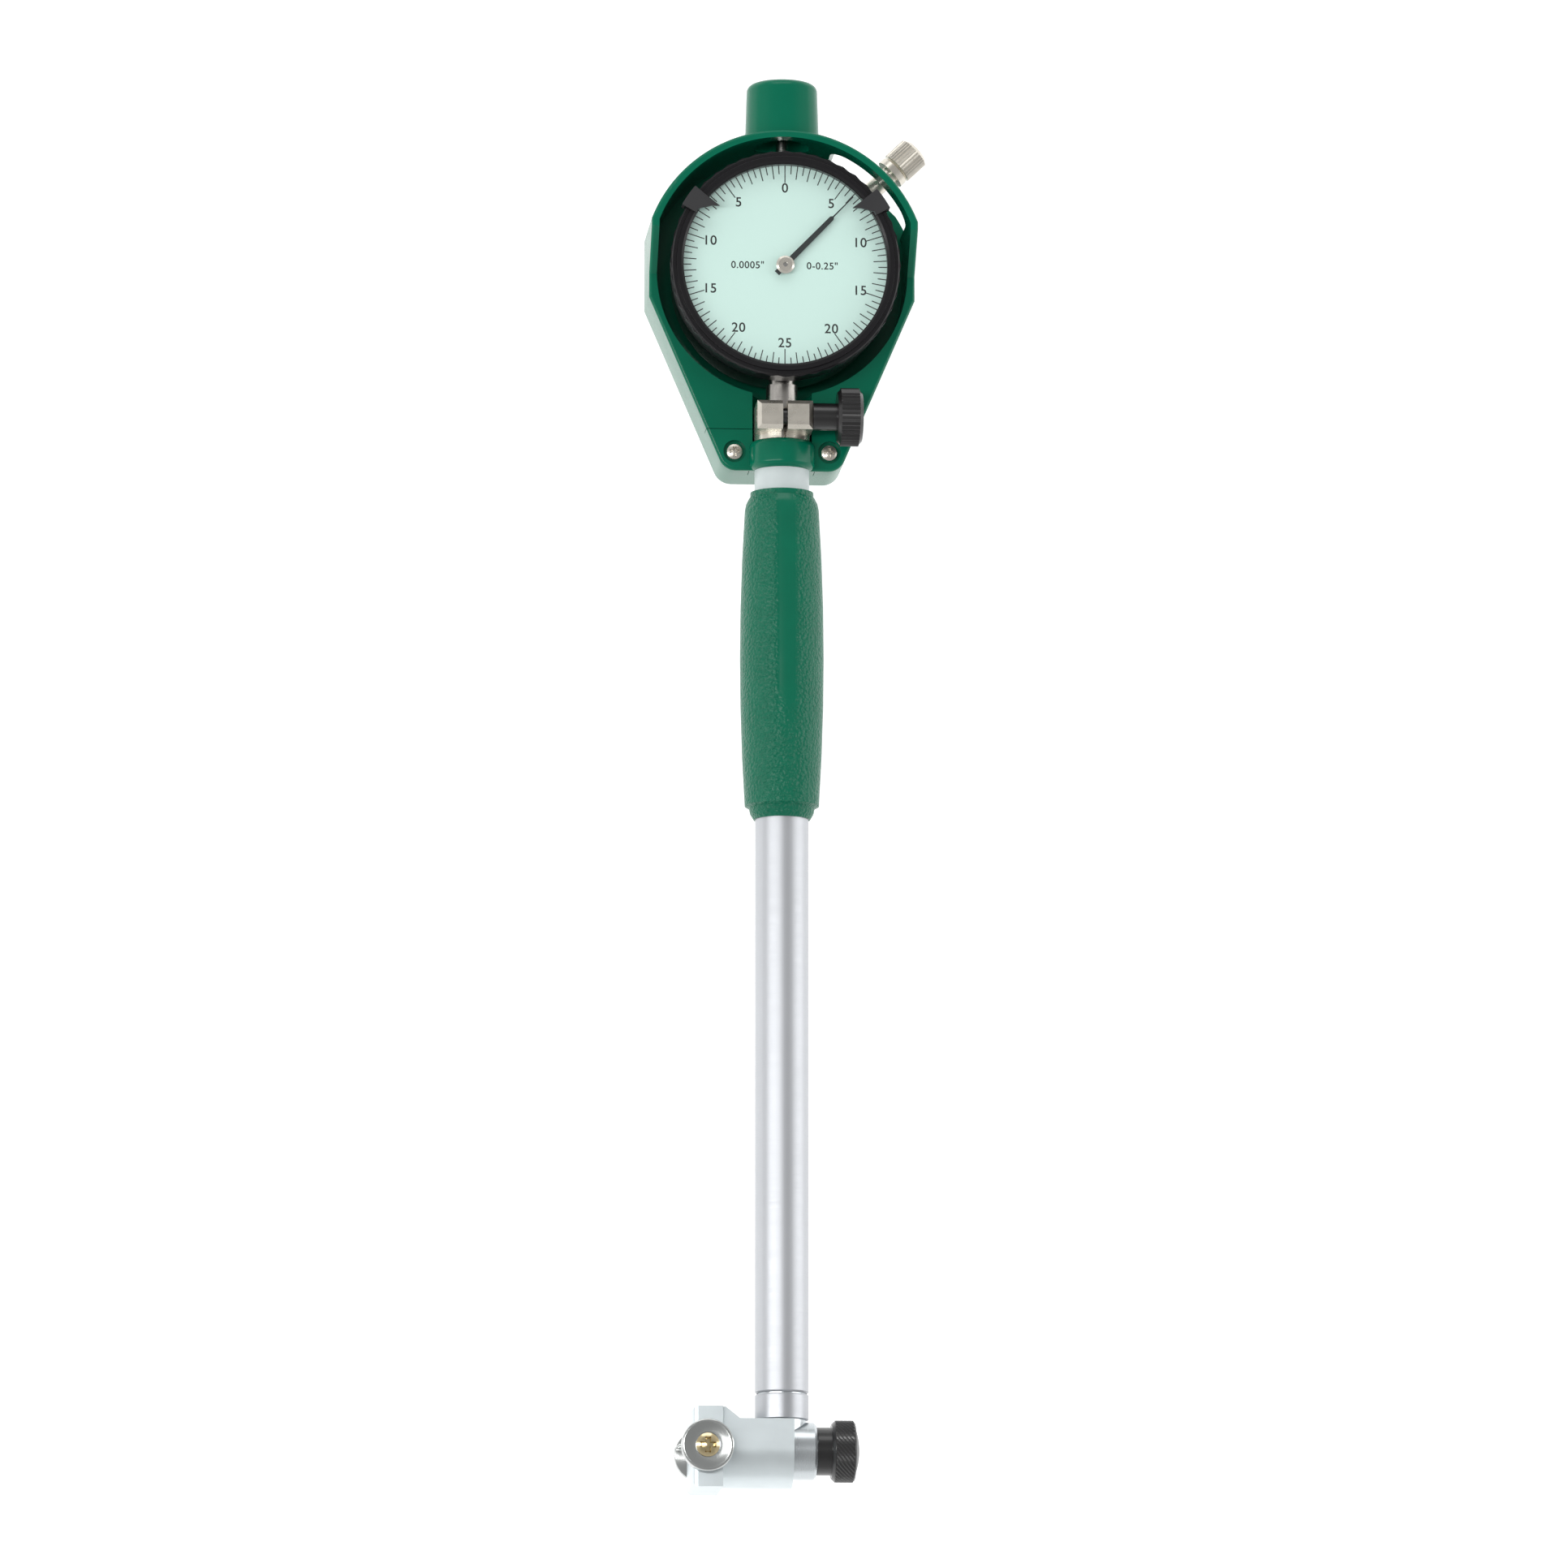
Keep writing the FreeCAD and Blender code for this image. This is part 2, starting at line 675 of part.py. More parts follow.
def make_head_body():
    barrel = rod(head_radius, along_head(head_left), along_head(head_right))
    barrel = barrel.makeChamfer(head_bevel, edges_where(barrel, lambda e: e.BoundBox.XMin > head_right - 1e-3))
    neck = rod(neck_radius, head_centre, on_axis(tube_end))
    spigot = rod(tube_bore, on_axis(tube_end), on_axis(lower_bush_top))
    stud = rod(nut_spigot_radius, along_head(head_right - 1), along_head(nut_floor - nut_seat_gap))
    body = joined(barrel, neck, spigot, stud)
    body = body.cut(rod(plug_shank_radius, along_head(head_right), along_head(nut_end)))
    body = body.cut(rod(plunger_radius + running, along_head(head_left - 1),
                        along_head(plunger_end + travel - plunger_nib_length + side_play)))
    body = body.cut(rod(plunger_nib_radius + side_play, along_head(head_left), along_head(lever_pivot.x + 1)))
    slot = lever_thickness / 2 + side_play
    body = body.cut(box(lever_foot_x - lever_tip_radius - 0.6, lever_tip_radius + 0.6,
                        measuring_y - lever_tip_radius - 0.5, lever_pivot.y + lever_hub_radius + 0.4,
                        axis_height - slot, axis_height + slot))
    body = body.cut(rod(rod_radius + 4 * running, on_axis(measuring_y + lever_tip_radius), on_axis(lower_bush_top)))
    body = body.cut(rod(bush_radius, on_axis(lower_bush_top - bush_length), on_axis(lower_bush_top + 1)))
    body = body.cut(rod(pin_radius, lever_pivot - Vector(0, 0, pin_half_length), lever_pivot + Vector(0, 0, pin_half_length)))
    screw_at = along_head(guide_screw_x)
    body = body.cut(rod(guide_screw_radius, screw_at - Vector(0, 0, head_radius + 1), screw_at - Vector(0, 0, guide_screw_depth)))
    return body.removeSplitter()


def make_lever():
    """Bell crank: one round-ended arm reaches down to the plunger, the other across to the push rod."""
    low, high = -lever_thickness / 2, lever_thickness / 2
    centre = Vector(0, 0, low)
    lift = Vector(0, 0, lever_thickness)
    half = lever_web / 2
    pieces = [rod(lever_hub_radius, centre, centre + lift)]
    for tip in (Vector(0, -lever_arm, low), Vector(lever_arm, 0, low)):
        pieces.append(rod(lever_tip_radius, tip, tip + lift))
    pieces.append(box(-half, half, -lever_arm, 0, low, high))
    pieces.append(box(0, lever_arm, -half, half, low, high))
    lever = joined(*pieces).cut(rod(pin_radius + running, centre - lift, centre + lift * 2))
    lever.rotate(Vector(0, 0, 0), Vector(0, 0, 1), -math.degrees(half_swing))
    lever.translate(lever_pivot)
    return lever


def make_plunger():
    body = rod(plunger_radius, along_head(-ball_reach + ball_radius + plunger_nose_length), along_head(plunger_end - plunger_nib_length))
    nose = rod(plunger_nose_radius, along_head(-ball_reach + ball_radius), along_head(-ball_reach + ball_radius + plunger_nose_length))
    nib = rod(plunger_nib_radius, along_head(plunger_end - plunger_nib_length), along_head(plunger_end))
    ball = Part.makeSphere(ball_radius, along_head(-ball_reach + ball_radius))
    return joined(body, nose, nib).cut(ball)


def make_nut():
    neck_length = nut_neck_end - nut_start
    length = nut_end - nut_start
    path = [(0, 0), (0, nut_neck_radius), (neck_length, nut_neck_radius), (neck_length, nut_radius - nut_chamfer),
            (neck_length + nut_chamfer, nut_radius), (length - nut_chamfer / 2, nut_radius),
            (length, nut_radius - nut_chamfer / 2), (length, 0)]
    nut = turned(path, along_head(nut_start), right)
    nut = nut.cut(rod(nut_spigot_radius + running, along_head(nut_start - 1), along_head(nut_end)))
    return nut.cut(rod(plug_radius + running, along_head(nut_floor), along_head(nut_end + 1)))


def make_plug():
    thickness = nut_end - nut_floor - side_play
    dome = [(0, 0), (0, plug_radius), (thickness, plug_radius), cap_arc(plug_radius, plug_dome, thickness)]
    head = turned(dome, along_head(nut_floor + side_play), right)
    return joined(head, rod(plug_shank_radius, along_head(head_right), along_head(nut_floor + side_play)))


parts["head_body"] = make_head_body()
parts["transfer_lever"] = make_lever()
parts["lever_pin"] = rod(pin_radius, lever_pivot - Vector(0, 0, pin_half_length), lever_pivot + Vector(0, 0, pin_half_length))
parts["measuring_contact"] = make_plunger()
parts["contact_ball"] = Part.makeSphere(ball_radius, along_head(-ball_reach + ball_radius))
parts["lock_nut"] = make_nut()
parts["socket_plug"] = make_plug()

# ================================================================ centring bridge and rollers


def make_bridge():
    """Saddle that straddles the head from below, with the crosshead that carries both rollers."""
    inner = head_radius + bridge_fit
    outer = bridge_radius
    top = bridge_leg_top

    def across(x):
        return lambda u, v: Vector(x, measuring_y + v, axis_height + u)

    saddle = Part.Face(path_wire([(-outer, top), (-outer, 0), (0, -outer, outer, 0), (outer, top), (inner, top),
                                  (inner, 0), (0, -inner, -inner, 0), (-inner, top)], across(crosshead_right)))
    saddle = saddle.extrude(right * (bridge_right - crosshead_right))
    peak = crosshead_half_height
    pieces = [saddle]
    for side in (-1, 1):
        corners = [(crosshead_right, 0), (ramp_end, 0), (ramp_end, top), (ramp_start, peak), (crosshead_right, peak)]
        points = [Vector(x, measuring_y + y, axis_height + side * inner) for x, y in corners + corners[:1]]
        pieces.append(Part.Face(Part.makePolygon(points)).extrude(Vector(0, 0, side * (outer - inner))))
    crosshead = box(crosshead_left, crosshead_right, measuring_y - peak, measuring_y + peak,
                    axis_height - crosshead_half_depth, axis_height + crosshead_half_depth)
    crosshead = crosshead.makeFillet(crosshead_round, edges_where(crosshead, lambda e: e.BoundBox.XMax < crosshead_left + 1e-3))
    bridge = joined(crosshead, *pieces)
    bridge = bridge.cut(rod(plunger_radius + bridge_fit, along_head(crosshead_left - 1), along_head(0)))
    bridge = bridge.cut(rod(spring_pocket_radius, along_head(crosshead_right - spring_pocket_depth), along_head(0)))
    for side in (-1, 1):
        face = on_axis(measuring_y, roller_x, side * crosshead_half_depth)
        bridge = bridge.cut(rod(roller_screw_shank, face, face - Vector(0, 0, side * roller_screw_grip)))
    slot = guide_screw_radius + running
    left = guide_screw_x - bridge_travel
    low, high = axis_height - outer - 1, axis_height
    bridge = bridge.cut(box(left, guide_screw_x, measuring_y - slot, measuring_y + slot, low, high))
    for x in (left, guide_screw_x):
        bridge = bridge.cut(rod(slot, Vector(x, measuring_y, low), Vector(x, measuring_y, high)))
    return bridge.removeSplitter()


def make_roller(side):
    inner = on_axis(measuring_y, roller_x, side * (crosshead_half_depth + side_play))
    outward = Vector(0, 0, side)
    r = roller_round
    path = [(0, 0), (0, roller_radius - r), (r * 0.29, roller_radius - r * 0.29, r, roller_radius),
            (roller_width - r, roller_radius),
            (roller_width - r * 0.29, roller_radius - r * 0.29, roller_width, roller_radius - r), (roller_width, 0)]
    wheel = turned(path, inner, outward)
    wheel = wheel.cut(rod(roller_screw_shank + running, inner - outward, inner + outward * 9))
    floor = inner + outward * (roller_width - roller_sink_depth)
    return wheel.cut(rod(roller_sink_radius, floor, floor + outward * 9))


def make_roller_screw(side):
    outward = Vector(0, 0, side)
    root = on_axis(measuring_y, roller_x, side * (crosshead_half_depth - roller_screw_grip))
    seat = on_axis(measuring_y, roller_x, side * (crosshead_half_depth + 2 * side_play + roller_width - roller_sink_depth))
    side_height = roller_screw_head_height - roller_screw_dome
    head = [(0, 0), (0, roller_screw_head), (side_height, roller_screw_head),
            cap_arc(roller_screw_head, roller_screw_dome, side_height)]
    return joined(rod(roller_screw_shank, root, seat), turned(head, seat, outward))


def make_guide_screw():
    face = on_axis(measuring_y, guide_screw_x, -bridge_radius - side_play)
    back = Vector(0, 0, -1)
    head = rod(guide_screw_head, face, face + back * guide_screw_head_height)
    shank = rod(guide_screw_radius, on_axis(measuring_y, guide_screw_x, -guide_screw_depth), face)
    return joined(head, shank)


parts["centring_bridge"] = make_bridge()
for name, side in (("front", 1), ("rear", -1)):
    parts["roller_" + name] = make_roller(side)
    parts["roller_screw_" + name] = make_roller_screw(side)
parts["bridge_guide_screw"] = make_guide_screw()
parts["bridge_spring"] = spring(bridge_spring_radius, bridge_spring_wire, bridge_spring_turns,
                                along_head(crosshead_right - spring_pocket_depth), along_head(head_left))

# ================================================================ indicator case and stem

front = Vector(0, 0, 1)


def dial_axis(rise):
    return Vector(0, 0, axis_height + rise)


def disc(radius, rise0, rise1):
    return rod(radius, dial_axis(rise0), dial_axis(rise1))


def back_screw_places():
    return [at_angle(angle) * back_screw_circle for angle in (45, 135, 225, 315)]


def radial(clockwise, distance, rise):
    return at_angle(clockwise) * distance + dial_axis(rise)


def make_case():
    inner = case_radius - case_wall
    case = disc(case_radius, -case_back_drop, case_front_rise)
    case = case.cut(disc(inner, -case_back_drop - 1, case_front_rise - case_web))
    for place in back_screw_places():
        foot = place + dial_axis(-case_back_drop)
        case = case.fuse(rod(back_lug_radius, foot, foot + front * back_screw_length))
    for place in back_screw_places():
        foot = place + dial_axis(-case_back_drop)
        case = case.cut(rod(back_screw_radius, foot, foot + front * back_screw_length))
    case = case.common(disc(case_radius, -case_back_drop - 1, case_front_rise + 1))
    case = case.cut(disc(web_hole, 0, case_front_rise + 1))
    case = case.cut(rod(stem_neck_radius, on_axis(-case_radius - 1), on_axis(-inner + 2)))
    case = case.cut(rod(top_bush_radius, on_axis(case_radius + 1), on_axis(inner - 2)))
    bush_start = radial(bezel_screw_angle, inner - 1, bezel_screw_rise)
    bush_end = radial(bezel_screw_angle, case_radius + 1, bezel_screw_rise)
    return case.cut(rod(bezel_bush_radius, bush_start, bush_end)).removeSplitter()


def make_back():
    cover = disc(case_radius, -case_back_drop - back_thickness, -case_back_drop)
    rim = edges_where(cover, lambda e: isinstance(e.Curve, Part.Circle) and e.CenterOfMass.z < axis_height - case_back_drop - 0.1)
    cover = cover.makeChamfer(0.6, rim)
    for place in back_screw_places():
        top = place + dial_axis(-case_back_drop)
        cover = cover.cut(rod(back_screw_radius, top - front * back_thickness, top))
        cover = cover.cut(rod(back_screw_head, top - front * (back_thickness + 1), top - front * (back_thickness - back_screw_sink)))
    return cover


def make_back_screws():
    screws = []
    for place in back_screw_places():
        top = place + dial_axis(-case_back_drop)
        seat = top - front * (back_thickness - back_screw_sink)
        screws.append(joined(rod(back_screw_head, seat - front * back_screw_sink, seat),
                             rod(back_screw_radius, seat, top + front * back_screw_length)))
    return Part.makeCompound(screws)


def make_stem():
    inner = case_radius - case_wall
    neck = rod(stem_neck_radius, on_axis(-inner), on_axis(-stem_neck_reach))
    stem = rod(stem_radius, on_axis(-stem_neck_reach), on_axis(-stem_end_reach))
    stem = joined(neck, stem)
    return stem.cut(rod(spindle_radius + running, on_axis(0), on_axis(-stem_end_reach - 1)))


def make_point():
    length = point_length - stem_clearance
    path = [(0, 0), (0, point_radius), (length - point_round, point_radius),
            (length - point_round * 0.29, point_radius - point_round * 0.29, length, point_radius - point_round), (length, 0)]
    return turned(path, on_axis(point_end + length), down)


parts["indicator_case"] = make_case()
parts["indicator_back"] = make_back()
parts["back_screws"] = make_back_screws()
parts["stem"] = make_stem()
parts["top_bush"] = ring(top_bush_radius, spindle_top_radius + running,
                         on_axis(case_radius - case_wall), on_axis(top_bush_reach))
parts["contact_point"] = make_point()

# ================================================================ movement

pinion_radius = rack_pitch * rack_pinion_teeth / (2 * math.pi)
rack_module = rack_pitch / math.pi
gear_distance = fine_module * (gear_teeth + centre_pinion_teeth) / 2
rack_arbor_x = -rack_line - pinion_radius
rack_arbor = Vector(rack_arbor_x, -math.sqrt(gear_distance ** 2 - rack_arbor_x ** 2), 0)
take_up_direction = Vector(math.cos(math.radians(take_up_angle)), math.sin(math.radians(take_up_angle)), 0)
take_up_arbor = take_up_direction * (fine_module * (take_up_teeth + centre_pinion_teeth) / 2)


def toothed_wheel(teeth, module, rise, thickness, centre, phase, hole):
    """Spur wheel with straight-flanked teeth; phase is the direction of one tooth's middle, in radians."""
    pitch_radius = module * teeth / 2
    quarter = math.pi / teeth / 2
    half_pitch = quarter * (1 - backlash)
    profile = [(pitch_radius - 1.25 * module, half_pitch * 1.55), (pitch_radius + 0.9 * module, half_pitch * 0.5)]
    points = []
    for i in range(teeth):
        middle = phase + 2 * math.pi * i / teeth
        flanks = [(r, -a) for r, a in profile] + [(r, a) for r, a in reversed(profile)]
        for r, a in flanks:
            points.append(centre + dial_axis(rise) + Vector(r * math.cos(middle + a), r * math.sin(middle + a), 0))
    wheel = Part.Face(Part.makePolygon(points + points[:1])).extrude(Vector(0, 0, thickness))
    foot = centre + dial_axis(rise)
    return wheel.cut(rod(hole, foot - front, foot + front * (thickness + 1)))


def meshed_phase(phase, teeth, direction, mate_teeth):
    """Direction of a tooth on the mate, so that its gap meets the first wheel's tooth."""
    offset = phase - direction
    return direction + math.pi - offset * teeth / mate_teeth + math.pi / mate_teeth


def make_spindle():
    lower_end = point_end + point_length - stem_clearance
    body = rod(spindle_radius, on_axis(lower_end), on_axis(spindle_flange_y))
    flange = rod(spindle_flange_radius, on_axis(spindle_flange_y), on_axis(spindle_flange_y + 1))
    upper = rod(spindle_top_radius, on_axis(spindle_flange_y + 1), on_axis(spindle_top_reach))
    spindle = joined(body, flange, upper)
    tip_x = -rack_line - 0.9 * rack_module
    root_x = -rack_line + 1.25 * rack_module
    half = rack_teeth * rack_pitch / 2
    middle = rack_arbor.y
    spindle = spindle.cut(box(-5, tip_x, middle - half, middle + half, axis_height - 5, axis_height + 5))
    half_gap = rack_pitch / 4 * (1 + backlash)
    lean = math.tan(math.radians(20)) * rack_module
    for i in range(rack_teeth):
        y = middle + (i - rack_teeth // 2) * rack_pitch
        corners = [(tip_x - 0.2, y - half_gap - 0.9 * lean), (tip_x - 0.2, y + half_gap + 0.9 * lean),
                   (root_x, y + half_gap - 1.25 * lean), (root_x, y - half_gap + 1.25 * lean)]
        gap = Part.Face(Part.makePolygon([Vector(x, v, axis_height - 5) for x, v in corners + corners[:1]]))
        spindle = spindle.cut(gap.extrude(Vector(0, 0, 10)))
    return spindle


def make_plate(radius, rise, holes):
    sheet = disc(radius, rise, rise + plate_thickness)
    for place, hole in holes:
        foot = place + dial_axis(rise)
        sheet = sheet.cut(rod(hole, foot - front, foot + front * 2))
    return sheet


def pillar_places():
    return [Vector(math.cos(math.radians(a)), math.sin(math.radians(a)), 0) * pillar_circle for a in pillar_angles]


def make_pillars():
    start = rear_plate_rise + plate_thickness
    return Part.makeCompound([rod(pillar_radius, p + dial_axis(start), p + dial_axis(front_plate_rise)) for p in pillar_places()])


def crossed(wheel, centre, rise, thickness):
    """Three round crossings lighten a gear wheel."""
    foot = centre + dial_axis(rise)
    for i in range(3):
        place = foot + Vector(math.cos(2 * math.pi * i / 3), math.sin(2 * math.pi * i / 3), 0) * gear_crossing_circle
        wheel = wheel.cut(rod(gear_crossing_radius, place - front, place + front * (thickness + 1)))
    return wheel


pivot_hole = arbor_radius + running
gear_direction = math.atan2(-rack_arbor.y, -rack_arbor.x)
pinion_phase = meshed_phase(gear_direction, gear_teeth, gear_direction, centre_pinion_teeth)
take_up_phase = meshed_phase(pinion_phase, centre_pinion_teeth, math.radians(take_up_angle), take_up_teeth)
centre = Vector(0, 0, 0)


def make_arbor(place, rise0, rise1, *wheels):
    return joined(rod(arbor_radius, place + dial_axis(rise0), place + dial_axis(rise1)), *wheels)


rack_pinion = toothed_wheel(rack_pinion_teeth, rack_module, -rack_pinion_length / 2, rack_pinion_length,
                            rack_arbor, 0, arbor_radius)
rack_gear = crossed(toothed_wheel(gear_teeth, fine_module, gear_rise, gear_thickness, rack_arbor, gear_direction, arbor_radius),
                    rack_arbor, gear_rise, gear_thickness)
take_up_gear = toothed_wheel(take_up_teeth, fine_module, gear_rise, gear_thickness, take_up_arbor, take_up_phase, arbor_radius)
pinion_rise = gear_rise + gear_thickness / 2 - centre_pinion_length / 2
centre_pinion = toothed_wheel(centre_pinion_teeth, fine_module, pinion_rise, centre_pinion_length, centre, pinion_phase, arbor_radius)

parts["spindle"] = make_spindle()
parts["spindle_cap"] = rod(spindle_cap_radius, on_axis(spindle_top_reach), on_axis(spindle_top_reach + spindle_cap_length))
parts["spindle_spring"] = spring(spindle_spring_radius, spindle_spring_wire, spindle_spring_turns,
                                 on_axis(spindle_flange_y + 1), on_axis(case_radius - case_wall))
parts["rack_pinion"] = rack_pinion
parts["rack_gear"] = rack_gear
parts["rack_arbor"] = make_arbor(rack_arbor, rear_plate_rise, front_plate_rise + plate_thickness - side_play)
parts["take_up_gear"] = take_up_gear
parts["take_up_arbor"] = make_arbor(take_up_arbor, middle_plate_rise, front_plate_rise + plate_thickness - side_play)
parts["centre_pinion"] = centre_pinion
parts["pointer_arbor"] = make_arbor(centre, middle_plate_rise, pointer_rise + pointer_thickness + hub_height / 2)
pillar_holes = [(p, pillar_radius) for p in pillar_places()]
parts["rear_plate"] = make_plate(rear_plate_radius, rear_plate_rise, [(rack_arbor, pivot_hole)])
parts["middle_plate"] = make_plate(front_plate_radius, middle_plate_rise, pillar_holes + [
    (rack_arbor, arbor_radius * 3), (centre, pivot_hole), (take_up_arbor, pivot_hole)])
parts["front_plate"] = make_plate(front_plate_radius, front_plate_rise, [
    (rack_arbor, pivot_hole), (centre, pivot_hole), (take_up_arbor, pivot_hole)])
parts["movement_pillars"] = make_pillars()

# ================================================================ bezel, crystal, dial, pointer, markers


def make_bezel():
    """Turned ring that carries dial and crystal, with a scalloped grip rim."""
    skirt = case_radius + running
    low, high = bezel_skirt_rise, bezel_rise
    lip = crystal_rise
    path = [(low, skirt), (low, bezel_radius - scallop_depth), (bezel_grip_rise, bezel_radius - scallop_depth),
            (bezel_grip_rise + bezel_grip_width, bezel_radius - scallop_depth),
            (high - bezel_step, bezel_radius - scallop_depth - bezel_step / 2), (high - bezel_step, bezel_step_radius),
            (high, bezel_step_radius - bezel_step / 3), (high, bezel_inner_radius + bezel_step), (lip, bezel_inner_radius),
            (lip, crystal_radius), (lip - crystal_thickness, crystal_radius), (lip - crystal_thickness, bezel_inner_radius),
            (dial_rise, bezel_inner_radius), (dial_rise, dial_radius), (dial_rise - dial_thickness, dial_radius),
            (dial_rise - dial_thickness, skirt)]
    ring_body = turned(path, dial_axis(0), front)
    grip = ridged_disc(bezel_radius, scallop_depth, bezel_scallops, bezel_grip_width, dial_axis(bezel_grip_rise), front)
    grip = grip.cut(disc(bezel_step_radius, 0, 50))
    return joined(ring_body, grip)


def make_pointer():
    """Thin hand: a stout tapered body, a fine needle and a round eye on the arbor."""
    half = pointer_stout_width / 2
    fine = pointer_tip_width / 2
    path = [(-half, -pointer_tail), (half, -pointer_tail), (half * 0.8, pointer_stout_length), (fine, pointer_stout_length + 0.6),
            (fine * 0.6, pointer_length), (-fine * 0.6, pointer_length), (-fine, pointer_stout_length + 0.6), (-half * 0.8, pointer_stout_length)]
    low = axis_height + pointer_rise
    hand = joined(plate(path, low, low + pointer_thickness), disc(pointer_eye_radius, pointer_rise, pointer_rise + pointer_thickness))
    hand = hand.cut(disc(arbor_radius, 0, 50))
    hand.rotate(Vector(0, 0, 0), front, pointer_angle)
    return hand


def make_hub():
    path = [(0, arbor_radius), (0, hub_radius), (hub_height * 0.5, hub_radius), (hub_height, hub_radius - 0.5), (hub_height, arbor_radius)]
    return turned(path, dial_axis(pointer_rise + pointer_thickness), front)


def make_marker(side):
    """Tolerance marker: a clip over the bezel's rim with an arrow that points in over the scale."""
    def at(radius, degrees):
        spot = at_angle(side * (marker_angle + degrees)) * radius
        return (spot.x, spot.y)

    outer = bezel_radius + marker_play + marker_wall
    inner_wall = bezel_radius + marker_play
    span = marker_half_span
    low = axis_height + bezel_rise + marker_play
    top_path = [at(marker_inner_radius, -span), at(marker_tip_radius, -marker_tip_angle),
                at(marker_tip_radius + 1.6, -marker_tip_angle + 3.4), at(marker_inner_radius, span * 0.6),
                at(marker_inner_radius, span), at(outer, span)]
    top_path.append(at(outer, 0) + at(outer, -span))
    top = plate(top_path, low, low + marker_wall)
    hook_path = [at(inner_wall, span), at(outer, span), at(outer, 0) + at(outer, -span), at(inner_wall, -span),
                 at(inner_wall, 0) + at(inner_wall, span)]
    hook = plate(hook_path, low - marker_hook, low)
    return joined(top, hook)


parts["bezel"] = make_bezel()
parts["crystal"] = disc(crystal_radius, crystal_rise - crystal_thickness, crystal_rise)
parts["dial_face"] = disc(dial_radius, dial_rise - dial_thickness, dial_rise).cut(disc(arbor_radius * 2, 0, 50))
parts["pointer"] = make_pointer()
parts["pointer_hub"] = make_hub()
parts["tolerance_marker_left"] = make_marker(-1)
parts["tolerance_marker_right"] = make_marker(1)

# ================================================================ bezel clamp screw


def make_bezel_screw():
    outward = at_angle(bezel_screw_angle)
    start = radial(bezel_screw_angle, case_radius - case_wall, bezel_screw_rise)
    flange = radial(bezel_screw_angle, bezel_screw_flange_start, bezel_screw_rise)
    head_start = radial(bezel_screw_angle, bezel_screw_head_start, bezel_screw_rise)
    length = bezel_screw_end - bezel_screw_head_start
    head = knurled_head(bezel_screw_head, bezel_screw_ridge_depth, bezel_screw_ridges, length,
                        bezel_screw_bevel, head_start, outward)
    end = bezel_screw_head - bezel_screw_ridge_depth - bezel_screw_bevel
    dome = turned([(0, 0), (0, end), cap_arc(end, bezel_screw_dome)], head_start + outward * length, outward)
    return joined(rod(bezel_screw_shaft, start, flange), rod(bezel_screw_flange, flange, head_start), head, dome)


parts["bezel_clamp_screw"] = make_bezel_screw()
parts["bezel_clamp_bush"] = ring(bezel_bush_radius, bezel_screw_shaft + running,
                                 radial(bezel_screw_angle, case_radius - case_wall, bezel_screw_rise),
                                 radial(bezel_screw_angle, bezel_bush_end, bezel_screw_rise))

# ================================================================ export

os.makedirs("parts", exist_ok=True)
for name, shape in parts.items():
    shape.exportStep("parts/" + name + ".step")
    print(name, len(shape.Solids), "volume %.2f" % shape.Volume, "valid" if shape.isValid() else "NOT VALID")
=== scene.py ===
"""Looks of a dial bore gauge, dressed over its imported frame.

The gauge lies on its back: X is across, +Y runs up to the dial, +Z faces the reader.
Sizes are millimetres, turned into metres when a mesh is placed.
"""

import json
import logging
import math
from dataclasses import dataclass, field
from enum import Enum

import bmesh
import bpy
from mathutils import Matrix, Vector

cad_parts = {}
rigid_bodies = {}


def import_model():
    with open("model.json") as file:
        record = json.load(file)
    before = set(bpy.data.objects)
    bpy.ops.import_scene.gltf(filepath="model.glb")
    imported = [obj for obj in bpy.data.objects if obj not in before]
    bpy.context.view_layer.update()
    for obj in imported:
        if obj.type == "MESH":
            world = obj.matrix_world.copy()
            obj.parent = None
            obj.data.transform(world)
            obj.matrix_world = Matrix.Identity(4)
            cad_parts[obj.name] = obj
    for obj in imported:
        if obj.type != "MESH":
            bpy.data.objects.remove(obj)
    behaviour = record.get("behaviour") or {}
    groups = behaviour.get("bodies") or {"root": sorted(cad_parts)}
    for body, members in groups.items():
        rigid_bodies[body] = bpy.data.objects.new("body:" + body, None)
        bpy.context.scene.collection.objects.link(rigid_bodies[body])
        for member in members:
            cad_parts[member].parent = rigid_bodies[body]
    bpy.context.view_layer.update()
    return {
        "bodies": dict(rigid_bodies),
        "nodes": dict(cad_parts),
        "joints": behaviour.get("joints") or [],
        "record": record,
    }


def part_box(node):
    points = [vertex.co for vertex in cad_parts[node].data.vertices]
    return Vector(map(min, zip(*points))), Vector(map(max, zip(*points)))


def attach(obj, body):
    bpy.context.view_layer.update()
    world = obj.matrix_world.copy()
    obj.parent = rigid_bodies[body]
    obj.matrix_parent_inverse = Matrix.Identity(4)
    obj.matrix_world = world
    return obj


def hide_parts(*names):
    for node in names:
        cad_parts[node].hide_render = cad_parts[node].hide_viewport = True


LOG = logging.getLogger("bore_gauge")
MM = 0.001
Colour = tuple[float, float, float]
Profile = list[tuple[float, float]]


# ------------------------------------------------------------------ shader maths


